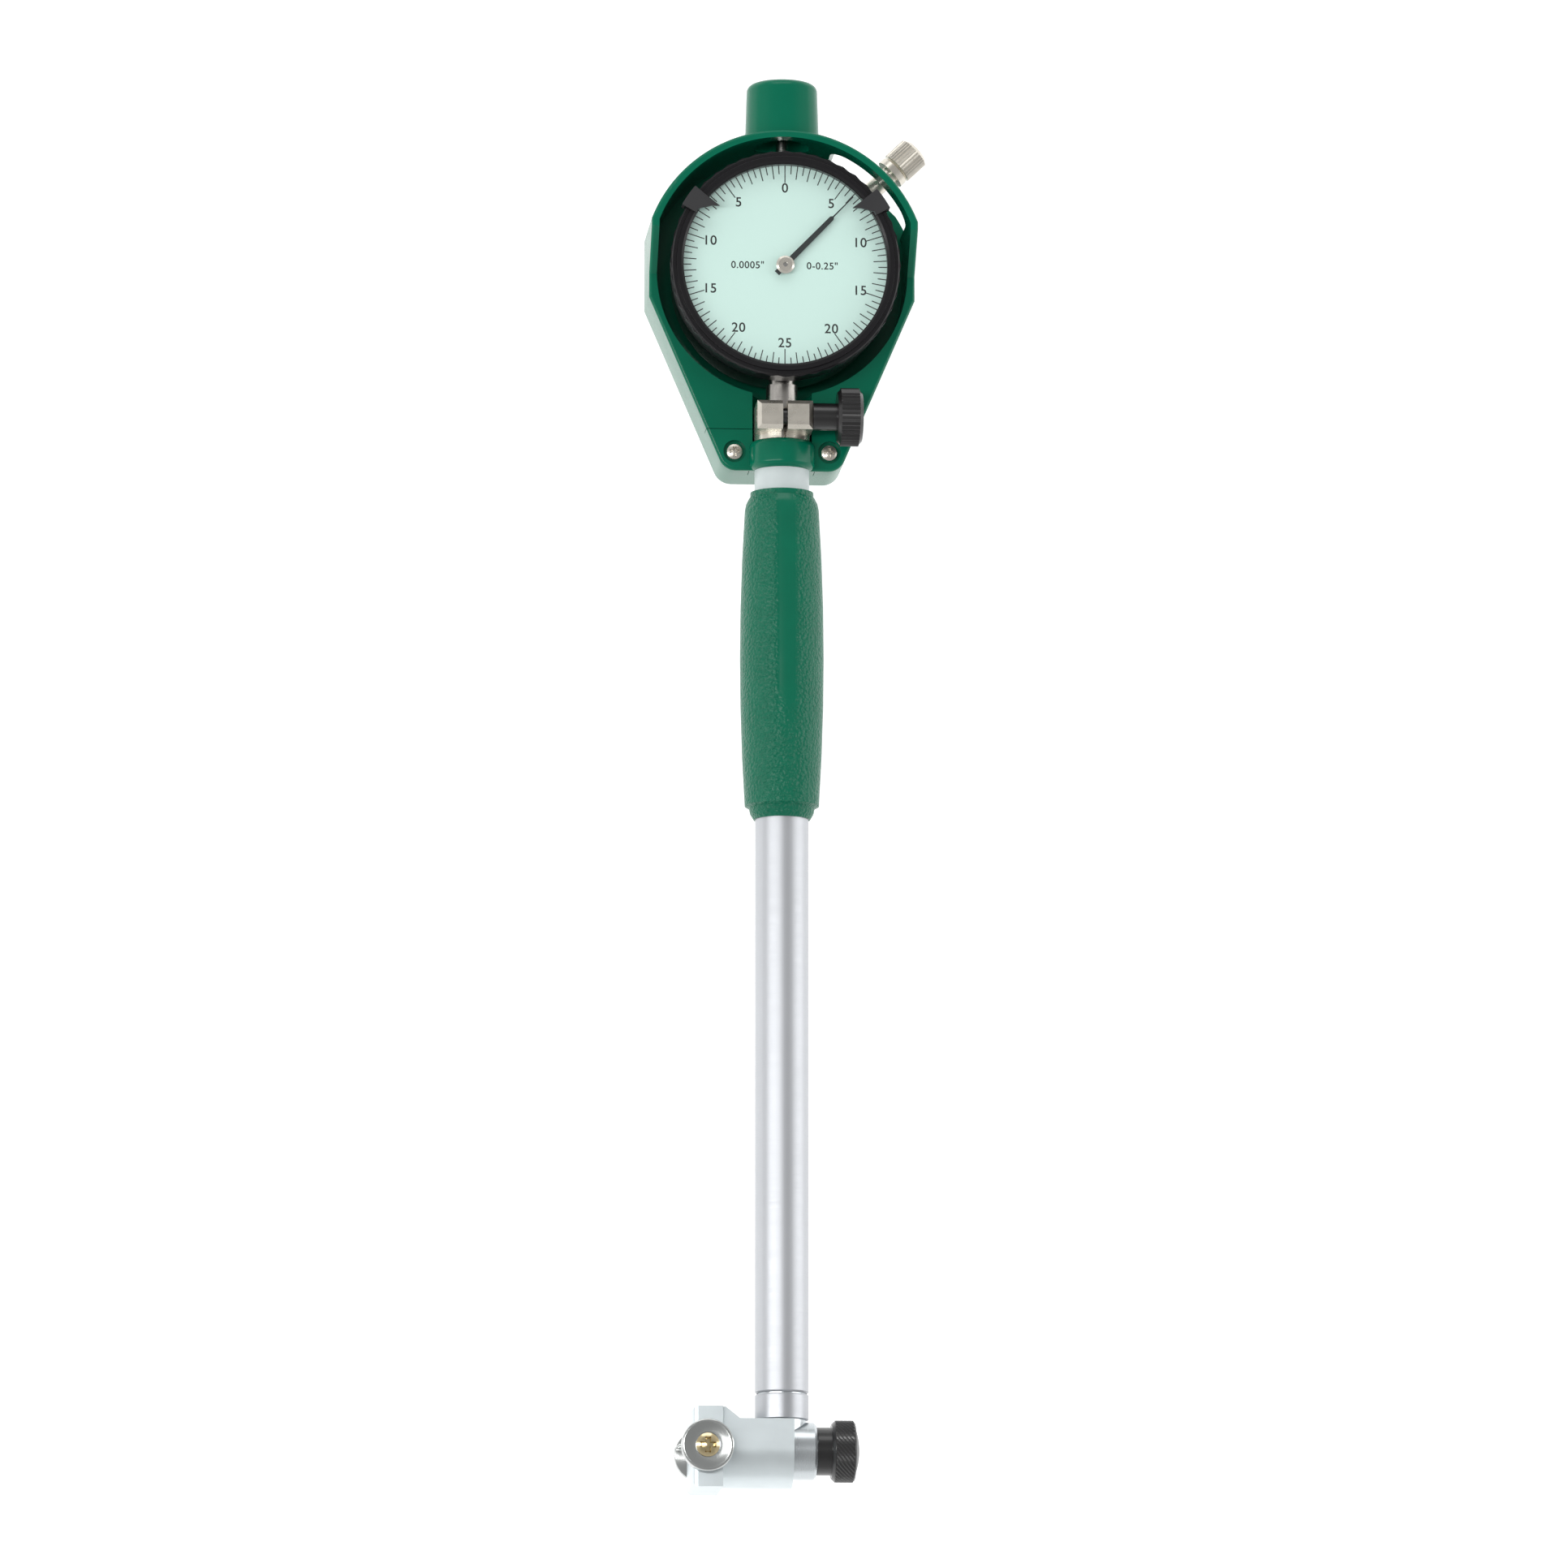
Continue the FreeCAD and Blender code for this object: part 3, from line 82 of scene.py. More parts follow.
class Value:
    """A shader socket that takes part in Python sums by adding Math nodes."""

    def __init__(self, tree: bpy.types.NodeTree, socket: bpy.types.NodeSocket) -> None:
        """Keeps the socket and the tree it belongs to."""
        self.tree = tree
        self.socket = socket

    def maths(self, operation: str, *others: "Value | float") -> "Value":
        """Adds one Math node.

        Args:
            operation: the Math node's operation.
            others: the further inputs, as sockets or numbers.

        Returns:
            The node's result.
        """
        node = self.tree.nodes.new("ShaderNodeMath")
        node.operation = operation
        for slot, item in zip(node.inputs, (self, *others)):
            if isinstance(item, Value):
                self.tree.links.new(item.socket, slot)
            else:
                slot.default_value = item
        return Value(self.tree, node.outputs[0])

    def under(self, operation: str, number: float) -> "Value":
        """Adds one Math node whose first input is a number and whose second is this socket."""
        node = self.tree.nodes.new("ShaderNodeMath")
        node.operation = operation
        node.inputs[0].default_value = number
        self.tree.links.new(self.socket, node.inputs[1])
        return Value(self.tree, node.outputs[0])

    def __add__(self, other: "Value | float") -> "Value":
        """Adds."""
        return self.maths("ADD", other)

    __radd__ = __add__

    def __sub__(self, other: "Value | float") -> "Value":
        """Subtracts."""
        return self.maths("SUBTRACT", other)

    def __rsub__(self, other: float) -> "Value":
        """Subtracts this socket from a number."""
        return self.under("SUBTRACT", other)

    def __mul__(self, other: "Value | float") -> "Value":
        """Multiplies."""
        return self.maths("MULTIPLY", other)

    __rmul__ = __mul__

    def __truediv__(self, other: "Value | float") -> "Value":
        """Divides."""
        return self.maths("DIVIDE", other)

    def __rtruediv__(self, other: float) -> "Value":
        """Divides a number by this socket."""
        return self.under("DIVIDE", other)

    def __pow__(self, other: float) -> "Value":
        """Raises to a power."""
        return self.maths("POWER", other)

    def __abs__(self) -> "Value":
        """Drops the sign."""
        return self.maths("ABSOLUTE")

    def ramp(self, low: float, high: float) -> "Value":
        """Runs smoothly from 0 at low to 1 at high."""
        share = (self - low) / (high - low)
        clear = share.maths("MAXIMUM", 0.0).maths("MINIMUM", 1.0)
        return clear * clear * (3.0 - clear * 2.0)


class Shader:
    """One material's node tree, with a Principled surface and the few inputs that vary."""

    def __init__(self, name: str) -> None:
        """Starts an empty material."""
        self.material = bpy.data.materials.new(name)
        self.material.use_nodes = True
        self.tree = self.material.node_tree
        self.tree.nodes.clear()
        self.surface = self.tree.nodes.new("ShaderNodeBsdfPrincipled")
        output = self.tree.nodes.new("ShaderNodeOutputMaterial")
        self.tree.links.new(self.surface.outputs[0], output.inputs["Surface"])

    def node(self, kind: str, settings: dict | None = None, sockets: dict | None = None,
             output: int | str = 0) -> Value:
        """Adds any node.

        Args:
            kind: the node's type name.
            settings: its own settings, set first; "stops" holds a colour ramp's stops.
            sockets: values or links for its inputs, by name or number.
            output: which of its outputs to return.

        Returns:
            The chosen output.
        """
        made = self.tree.nodes.new(kind)
        for key, setting in (settings or {}).items():
            if key == "stops":
                while len(made.color_ramp.elements) < len(setting):
                    made.color_ramp.elements.new(0.5)
                for element, (place, shade) in zip(made.color_ramp.elements, setting):
                    element.position = place
                    element.color = shade
            else:
                setattr(made, key, setting)
        for key, item in (sockets or {}).items():
            if isinstance(item, Value):
                self.tree.links.new(item.socket, made.inputs[key])
            else:
                made.inputs[key].default_value = item
        return Value(self.tree, made.outputs[output])

    def set(self, socket: str, item: "Value | float | tuple") -> None:
        """Sets or links one input of the surface."""
        slot = self.surface.inputs[socket]
        if isinstance(item, Value):
            self.tree.links.new(item.socket, slot)
        else:
            slot.default_value = item

    def place(self) -> Value:
        """Returns the object coordinates."""
        return self.node("ShaderNodeTexCoord", output="Object")

    def axis(self, letter: str) -> Value:
        """Returns one object coordinate in millimetres."""
        return self.node("ShaderNodeSeparateXYZ", sockets={0: self.place()}, output=letter) / MM

    def stretched(self, scale: tuple[float, float, float]) -> Value:
        """Returns object coordinates scaled along each axis."""
        return self.node("ShaderNodeMapping", sockets={"Vector": self.place(), "Scale": scale})

    def noise(self, size_mm: float, detail: float = 2.0, roughness: float = 0.5,
              stretch: tuple[float, float, float] = (1.0, 1.0, 1.0)) -> Value:
        """Returns noise whose blotches are about size_mm across."""
        scale = tuple(part / (size_mm * MM) for part in stretch)
        return self.node("ShaderNodeTexNoise", sockets={
            "Vector": self.stretched(scale), "Scale": 1.0, "Detail": detail, "Roughness": roughness})

    def mix(self, share: "Value | float", first: "Value | tuple", second: "Value | tuple") -> Value:
        """Mixes two colours."""
        return self.node("ShaderNodeMix", {"data_type": "RGBA"}, {0: share, 6: first, 7: second}, output=2)

    def bump(self, height: Value, depth_mm: float, strength: float = 1.0) -> None:
        """Feeds a height, in shares of depth_mm, to the surface's normal."""
        self.set("Normal", self.node("ShaderNodeBump", sockets={
            "Height": height, "Distance": depth_mm * MM, "Strength": strength}))


def rgba(colour: Colour) -> tuple[float, float, float, float]:
    """Returns a colour with full alpha."""
    return (*colour, 1.0)


def shade(colour: Colour, factor: float) -> tuple[float, float, float, float]:
    """Returns a colour made lighter or darker, with full alpha."""
    return rgba(tuple(min(1.0, part * factor) for part in colour))


# ------------------------------------------------------------------ finishes


@dataclass(frozen=True)
class Finish:
    """A plain finish: colour, gloss and a little life in both."""

    name: str
    slot: str
    colour: Colour
    roughness: float = 0.3
    metallic: float = 0.0
    mottle: float = 0.06
    mottle_mm: float = 6.0
    grain_mm: float = 0.0
    grain_depth_mm: float = 0.0
    coat: float = 0.0
    specular: float = 0.5

    def paint(self, shader: Shader) -> None:
        """Sets the surface's inputs."""
        shader.set("Specular IOR Level", self.specular)
        blotch = shader.noise(self.mottle_mm, 3.0)
        shader.set("Base Color", shader.mix(blotch, shade(self.colour, 1.0 - self.mottle),
                                            shade(self.colour, 1.0 + self.mottle)))
        shader.set("Roughness", blotch * (self.roughness * 0.3) + self.roughness * 0.85)
        shader.set("Metallic", self.metallic)
        if self.coat:
            shader.set("Coat Weight", self.coat)
            shader.set("Coat Roughness", 0.06)
        if self.grain_mm:
            shader.bump(shader.noise(self.grain_mm, 2.0), self.grain_depth_mm)

    def material(self) -> bpy.types.Material:
        """Returns the finish as a new material."""
        shader = Shader(self.name)
        self.paint(shader)
        return shader.material


@dataclass(frozen=True)
class TurnedMetal(Finish):
    """Metal turned or ground round an axis: fine rings run across that axis."""

    along: tuple[float, float, float] = (0.0, 1.0, 0.0)
    ring_mm: float = 0.12
    ring_depth_mm: float = 0.004

    def paint(self, shader: Shader) -> None:
        """Adds the rings to the plain finish."""
        super().paint(shader)
        stretch = tuple(0.02 + 0.98 * part for part in self.along)
        rings = shader.noise(self.ring_mm, 1.0, stretch=stretch)
        shader.set("Roughness", rings * (self.roughness * 0.5) + self.roughness * 0.75)
        shader.bump(rings, self.ring_depth_mm)


@dataclass(frozen=True)
class LeatherGrain(Finish):
    """Moulded grip plastic: leather-like pebbles that fade to a smooth strip along the front and back."""

    pebble_mm: float = 0.8
    pebble_depth_mm: float = 0.3
    strip_mm: float = 1.6
    strip_fade_mm: float = 1.5
    strip_end_mm: float = -122.0

    def paint(self, shader: Shader) -> None:
        """Adds pebbles and the smooth strip."""
        super().paint(shader)
        warp = shader.noise(1.6, 2.0)
        spot = shader.node("ShaderNodeVectorMath", {"operation": "MULTIPLY_ADD"}, {
            0: warp, 1: (0.0009, 0.0009, 0.0009), 2: shader.place()})
        cells = shader.node("ShaderNodeTexVoronoi", {"feature": "SMOOTH_F1"}, {
            "Vector": spot, "Scale": 1.0 / (self.pebble_mm * MM), "Smoothness": 0.35})
        fine = shader.noise(0.35, 2.0)
        across = abs(shader.axis("X") - 0.4)
        low_end = shader.axis("Y").ramp(self.strip_end_mm, self.strip_end_mm + 18.0)
        rough = 1.0 - (1.0 - across.ramp(self.strip_mm, self.strip_mm + self.strip_fade_mm)) * low_end
        height = (1.0 - cells) * rough + fine * rough * 0.25
        shader.bump(height, self.pebble_depth_mm)
        shader.set("Roughness", rough * 0.06 + self.roughness)


@dataclass(frozen=True)
class ClearCover(Finish):
    """A clear flat cover that only shows its gloss."""

    def paint(self, shader: Shader) -> None:
        """Makes the surface see-through with a faint haze."""
        super().paint(shader)
        haze = shader.noise(9.0, 2.0)
        shader.set("Alpha", haze * 0.006 + 0.012)


class Finishes(Enum):
    """Every finish on the gauge."""

    GREEN = Finish("green_moulding", "green_plastic", (0.0002, 0.156, 0.085), 0.2, mottle=0.05, grain_mm=2.5,
                   grain_depth_mm=0.003, specular=0.22)
    GRIP = LeatherGrain("green_grip", "green_grip", (0.0002, 0.148, 0.08), 0.25, mottle=0.1,
                       specular=0.32)
    WHITE = Finish("white_sleeve", "white_plastic", (0.64, 0.71, 0.71), 0.35, mottle=0.05, mottle_mm=3.0)
    TUBE = TurnedMetal("satin_tube", "ground_steel", (0.56, 0.575, 0.6), 0.42, 0.7, mottle=0.03, mottle_mm=18.0)
    COLLAR = TurnedMetal("plated_collar", "zinc_plate", (0.52, 0.535, 0.56), 0.38, 0.75, mottle=0.04)
    HEAD = TurnedMetal("plated_head", "zinc_plate", (0.6, 0.64, 0.66), 0.25, 0.85, mottle=0.14, mottle_mm=5.0,
                       along=(1.0, 0.0, 0.0))
    CASTING = Finish("grey_casting", "grey_casting", (0.76, 0.83, 0.85), 0.36, 0.65, mottle=0.07,
                     grain_mm=0.25, grain_depth_mm=0.006)
    NICKEL = Finish("warm_nickel", "nickel_plate", (0.74, 0.7, 0.62), 0.28, 0.9, mottle=0.1, mottle_mm=2.5)
    CHROME = Finish("bright_chrome", "bright_chrome", (0.62, 0.62, 0.61), 0.16, 1.0, mottle=0.05)
    ROLLER = Finish("polished_roller", "hardened_steel", (0.6, 0.62, 0.61), 0.17, 1.0, mottle=0.04)
    STEEL = TurnedMetal("hard_steel", "hardened_steel", (0.5, 0.49, 0.47), 0.24, 1.0)
    STEM = TurnedMetal("steel_stem", "ground_steel", (0.48, 0.46, 0.43), 0.24, 1.0)
    GOLD = Finish("yellow_zinc", "brass", (0.72, 0.6, 0.36), 0.18, 1.0, mottle=0.25, mottle_mm=1.2)
    BRASS = Finish("satin_brass", "brass", (0.62, 0.42, 0.16), 0.3, 1.0, mottle=0.08)
    BLACK = Finish("black_oxide", "black_metal", (0.012, 0.0115, 0.012), 0.3, mottle=0.2, grain_mm=0.6,
                   grain_depth_mm=0.008, coat=0.3)
    RING = TurnedMetal("black_ring", "black_metal", (0.009, 0.0085, 0.01), 0.3, along=(0.0, 0.0, 1.0), specular=0.3)
    CASE = Finish("black_case", "case_metal", (0.008, 0.007, 0.007), 0.18, mottle=0.3, coat=0.5)
    MARKER = Finish("dark_marker", "black_metal", (0.03, 0.03, 0.032), 0.4, mottle=0.1)
    PLUG = Finish("grey_plug", "grey_plug", (0.16, 0.165, 0.165), 0.45, mottle=0.08)
    DIAL = Finish("mint_dial", "dial_paint", (0.7, 0.95, 0.87), 0.5, mottle=0.012, mottle_mm=20.0)
    INK = Finish("black_ink", "dial_paint", (0.004, 0.006, 0.006), 0.6, mottle=0.1)
    HAND = Finish("black_hand", "black_aluminium", (0.006, 0.012, 0.013), 0.4, mottle=0.1)
    CRYSTAL = ClearCover("clear_cover", "clear_crystal", (0.9, 0.95, 0.93), 0.05)
    LABEL = Finish("white_label", "white_plastic", (0.75, 0.75, 0.62), 0.5, mottle=0.04)


class Wardrobe:
    """Makes each finish's material once."""

    def __init__(self) -> None:
        """Starts with no materials."""
        self.made: dict[str, bpy.types.Material] = {}

    def get(self, finish: Finishes) -> bpy.types.Material:
        """Returns the material of a finish."""
        if finish.name not in self.made:
            self.made[finish.name] = finish.value.material()
        return self.made[finish.name]


# ------------------------------------------------------------------ mesh work


def clean(mesh: bmesh.types.BMesh, sharp_deg: float = 30.0, recalculate: bool = False) -> None:
    """Merges doubles, shades smooth and marks the edges that stay sharp.

    Args:
        mesh: the mesh, in metres.
        sharp_deg: edges that turn by more than this stay sharp.
        recalculate: whether faces are turned outwards.
    """
    bmesh.ops.remove_doubles(mesh, verts=mesh.verts[:], dist=1e-6)
    if recalculate:
        bmesh.ops.recalc_face_normals(mesh, faces=mesh.faces[:])
    limit = math.radians(sharp_deg)
    for face in mesh.faces:
        face.smooth = True
    for edge in mesh.edges:
        edge.smooth = len(edge.link_faces) == 2 and edge.calc_face_angle(0.0) < limit


def turn_to(direction: Vector, base: Vector) -> Matrix:
    """Returns the matrix that carries +Z to a direction, and the origin to base in millimetres."""
    return Matrix.Translation(base * MM) @ direction.to_track_quat("Z", "Y").to_matrix().to_4x4()


def spun(profile: Profile, steps: int = 96) -> bmesh.types.BMesh:
    """Spins a profile round Z.

    Args:
        profile: points as (height along Z, radius), in millimetres.
        steps: how many stretches the full turn has.

    Returns:
        The closed surface, in metres.
    """
    mesh = bmesh.new()
    points = [mesh.verts.new((radius * MM, 0.0, height * MM)) for height, radius in profile]
    edges = [mesh.edges.new(pair) for pair in zip(points, points[1:])]
    bmesh.ops.spin(mesh, geom=points + edges, cent=(0, 0, 0), axis=(0, 0, 1), angle=math.tau, steps=steps,
                   use_merge=True)
    bmesh.ops.remove_doubles(mesh, verts=mesh.verts[:], dist=1e-7)
    bmesh.ops.recalc_face_normals(mesh, faces=mesh.faces[:])
    return mesh


@dataclass
class Bench:
    """What every sub-assembly works with: the frame and the materials."""

    frame: dict
    wardrobe: Wardrobe = field(default_factory=Wardrobe)

    def body_of(self, node: str) -> str:
        """Returns the body that holds a node."""
        bodies = self.frame["record"]["behaviour"]["bodies"]
        return next(body for body, nodes in bodies.items() if node in nodes)

    def dress(self, node: str, finish: Finishes) -> None:
        """Gives a CAD node a finish, as it stands."""
        item = self.frame["nodes"][node]
        for slot in item.material_slots:
            slot.material = self.wardrobe.get(finish)
        if not item.material_slots:
            item.data.materials.append(self.wardrobe.get(finish))
        LOG.info("dressed %s in %s", node, finish.value.name)

    def piece(self, mesh: bmesh.types.BMesh, name: str, body: str, finish: Finishes,
              replaces: tuple[str, ...] = (), bevel_mm: float = 0.0) -> bpy.types.Object:
        """Turns a mesh into a finished piece.

        Args:
            mesh: the mesh, in metres, freed afterwards.
            name: the piece's name.
            body: the body it rides on.
            finish: its finish.
            replaces: the CAD nodes that it stands for.
            bevel_mm: width of a rounded edge, or 0 for none.

        Returns:
            The new object.
        """
        data = bpy.data.meshes.new(name)
        mesh.to_mesh(data)
        mesh.free()
        data.materials.append(self.wardrobe.get(finish))
        item = bpy.data.objects.new(name, data)
        bpy.context.scene.collection.objects.link(item)
        if bevel_mm:
            bevel = item.modifiers.new("edges", "BEVEL")
            bevel.width = bevel_mm * MM
            bevel.segments = 2
            bevel.limit_method = "ANGLE"
            bevel.angle_limit = math.radians(35)
            bevel.harden_normals = True
        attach(item, body)
        if replaces:
            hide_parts(*replaces)
        LOG.info("made %s with %d faces", name, len(data.polygons))
        return item

    def refine(self, node: str, finish: Finishes, bevel_mm: float = 0.0, sharp_deg: float = 30.0) -> bpy.types.Object:
        """Replaces a CAD node by a merged, smoothly shaded copy of itself.

        Args:
            node: the CAD node.
            finish: its finish.
            bevel_mm: width of a rounded edge, or 0 for none.
            sharp_deg: edges that turn by more than this stay sharp.

        Returns:
            The new object.
        """
        mesh = bmesh.new()
        mesh.from_mesh(self.frame["nodes"][node].data)
        bmesh.ops.remove_doubles(mesh, verts=mesh.verts[:], dist=2e-6)
        bmesh.ops.dissolve_limit(mesh, angle_limit=math.radians(0.3), verts=mesh.verts[:], edges=mesh.edges[:])
        clean(mesh, sharp_deg)
        self.dress(node, finish)
        return self.piece(mesh, node + "_fine", self.body_of(node), finish, (node,), bevel_mm)


# ------------------------------------------------------------------ sub-assemblies


@dataclass
class SubAssembly:
    """A group of pieces that are made and dressed together."""

    bench: Bench
    axis_z: float = 17.5

    def build(self) -> None:
        """Makes the group's pieces."""
        raise NotImplementedError


@dataclass
class CrossScrew:
    """A screw whose domed head has a cross recess pressed into it."""

    node: str
    finish: Finishes
    shank_radius: float
    head_side: float
    dome: float
    arm_share: float = 0.62
    half_width_share: float = 0.2
    depth: float = 0.9
    rings: int = 14
    steps: int = 64

    def build(self, bench: Bench, facing: int = 1) -> None:
        """Makes the screw in place of its CAD node.

        Args:
            bench: the bench that finishes the piece.
            facing: 1 where the head faces the reader, -1 where it faces away.
        """
        low, high = (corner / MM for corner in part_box(self.node))
        radius = (high.x - low.x) / 2
        length = high.z - low.z
        side_top = length - self.dome
        under = side_top - self.head_side
        bulge = [(side_top + self.dome * (1.0 - (ring / self.rings) ** 2), radius * ring / self.rings)
                 for ring in range(self.rings + 1)]
        mesh = spun([*bulge, (under, radius), (under, self.shank_radius), (0.0, self.shank_radius), (0.0, 0.0)],
                    self.steps)
        arm = radius * self.arm_share * MM
        half_width = radius * self.half_width_share * MM
        for vertex in mesh.verts:
            narrow, wide = sorted((abs(vertex.co.x), abs(vertex.co.y)))
            if vertex.co.z > side_top * MM and narrow < half_width and wide < arm:
                vertex.co.z -= self.depth * MM
        clean(mesh, recalculate=True)
        foot = Vector(((low.x + high.x) / 2, (low.y + high.y) / 2, low.z if facing > 0 else high.z))
        bmesh.ops.transform(mesh, matrix=turn_to(Vector((0, 0, facing)), foot), verts=mesh.verts[:])
        bench.dress(self.node, self.finish)
        bench.piece(mesh, self.node + "_crossed", bench.body_of(self.node), self.finish, (self.node,))


@dataclass
class Housing(SubAssembly):
    """The green shell, its neck cap and the cap's two screws."""

    screw_shank: float = 1.0
    screw_side: float = 0.7
    screw_dome: float = 0.4

    def build(self) -> None:
        """Refines the mouldings and cuts the crosses into the screws."""
        self.bench.refine("housing", Finishes.GREEN, 0.6)
        self.bench.refine("neck_cap", Finishes.GREEN, 0.12)
        for side in ("left", "right"):
            CrossScrew("cover_screw_" + side, Finishes.NICKEL, self.screw_shank, self.screw_side,
                       self.screw_dome).build(self.bench)


@dataclass
class StemClamp(SubAssembly):
    """The split clamp and its black knob."""

    def build(self) -> None:
        """Refines both."""
        self.bench.refine("stem_clamp", Finishes.NICKEL, 0.25)
        self.bench.refine("clamp_screw", Finishes.BLACK, 0.06, 20.0)


@dataclass
class Handle(SubAssembly):
    """Sleeve, grip, tube and collar."""

    def build(self) -> None:
        """Refines the turned pieces."""
        self.bench.refine("insulating_sleeve", Finishes.WHITE)
        self.bench.refine("handle_grip", Finishes.GRIP)
        self.bench.refine("outer_tube", Finishes.TUBE)
        self.bench.refine("tube_collar", Finishes.COLLAR)
        for node in ("upper_guide_bush", "lower_guide_bush"):
            self.bench.dress(node, Finishes.BRASS)
        for node in ("push_rod", "push_rod_spring"):
            self.bench.dress(node, Finishes.STEEL)


@dataclass
class MeasuringHead(SubAssembly):
    """Head, contact, bridge, rollers and the knurled nut."""

    roller_bore: float = 1.55
    rim_round: float = 0.55
    dish_edge: float = 0.2
    dish_depth: float = 0.28
    screw_side: float = 0.8
    screw_dome: float = 0.8
    screw_sink: float = 1.3
    knurl_length: float = 4.5
    knurl_edge: float = 0.45
    knurl_rows: int = 9
    knurl_points: int = 76
    knurl_depth: float = 0.22

    def build(self) -> None:
        """Refines the outside pieces and dresses the inside ones."""
        self.bench.refine("head_body", Finishes.HEAD, 0.1)
        self.bench.refine("centring_bridge", Finishes.CASTING, 0.2)
        self.bench.refine("lock_nut", Finishes.BLACK, 0.1)
        self.bench.refine("socket_plug", Finishes.PLUG)
        for side, facing in (("front", 1), ("rear", -1)):
            self.dish_roller(side, facing)
            CrossScrew("roller_screw_" + side, Finishes.GOLD, self.roller_bore - 0.05, self.screw_side,
                       self.screw_dome).build(self.bench, facing)
        for node in ("measuring_contact", "contact_ball"):
            self.bench.refine(node, Finishes.ROLLER)
        for node in ("transfer_lever", "lever_pin", "bridge_spring"):
            self.bench.dress(node, Finishes.STEEL)
        self.bench.refine("bridge_guide_screw", Finishes.CHROME)
        self.knurl_nut()

    def dish_roller(self, side: str, facing: int) -> None:
        """Makes one roller with a dished face and a rounded rim.

        Args:
            side: front or rear.
            facing: 1 where the roller faces the reader, -1 where it faces away.
        """
        low, high = (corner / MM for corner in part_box("roller_" + side))
        screw_low, screw_high = (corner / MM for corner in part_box("roller_screw_" + side))
        radius = (high.x - low.x) / 2
        width = high.z - low.z
        middle = Vector(((low.x + high.x) / 2, (low.y + high.y) / 2, low.z if facing > 0 else high.z))
        rim = [(width - self.rim_round * (1.0 - math.sin(angle)), radius - self.rim_round * (1.0 - math.cos(angle)))
               for angle in (math.pi / 2 * step / 5 for step in range(6))]
        dish_outer = radius - self.rim_round - self.dish_edge
        dish_inner = (screw_high.x - screw_low.x) / 2 + self.dish_edge
        dish = [(width - self.dish_depth * math.sin(math.pi / 2 * step / 8),
                 dish_outer + (dish_inner - dish_outer) * step / 8) for step in range(9)]
        floor = width - self.screw_sink
        profile = [(0.0, self.roller_bore), (0.0, radius - self.dish_edge), (self.dish_edge, radius), *rim, *dish,
                   (floor, dish_inner), (floor, self.roller_bore), (0.0, self.roller_bore)]
        mesh = spun(profile, 128)
        clean(mesh, 50.0, True)
        direction = Vector((0, 0, facing))
        bmesh.ops.transform(mesh, matrix=turn_to(direction, middle), verts=mesh.verts[:])
        self.bench.piece(mesh, "roller_" + side + "_dished", side + "_roller", Finishes.ROLLER, ("roller_" + side,))

    def knurl_nut(self) -> None:
        """Cuts a diamond knurl round the lock nut's head, as a sleeve of small points."""
        low, high = (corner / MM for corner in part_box("lock_nut"))
        radius = (high.z - low.z) / 2
        start = high.x - self.knurl_length - self.knurl_edge
        pitch = self.knurl_length / self.knurl_rows
        band = [(start + row * pitch, radius + self.knurl_depth) for row in range(self.knurl_rows + 1)]
        inside = radius - self.knurl_edge
        mesh = spun([(start, inside), *band, (high.x - self.knurl_edge, inside), (start, inside)],
                    self.knurl_points)
        sink = 1.0 - self.knurl_depth / (radius + self.knurl_depth)
        for vertex in mesh.verts:
            across = Vector((vertex.co.x, vertex.co.y))
            if across.length < radius * MM:
                continue
            row = round((vertex.co.z / MM - start) / pitch)
            column = round(math.atan2(across.y, across.x) / math.tau * self.knurl_points)
            if (row + column) % 2:
                vertex.co = Vector((vertex.co.x * sink, vertex.co.y * sink, vertex.co.z))
        axis_y = (low.y + high.y) / 2
        bmesh.ops.transform(mesh, matrix=turn_to(Vector((1, 0, 0)), Vector((0, axis_y, self.axis_z))),
                            verts=mesh.verts[:])
        self.bench.piece(mesh, "lock_nut_knurl", "anvil_nut", Finishes.BLACK)


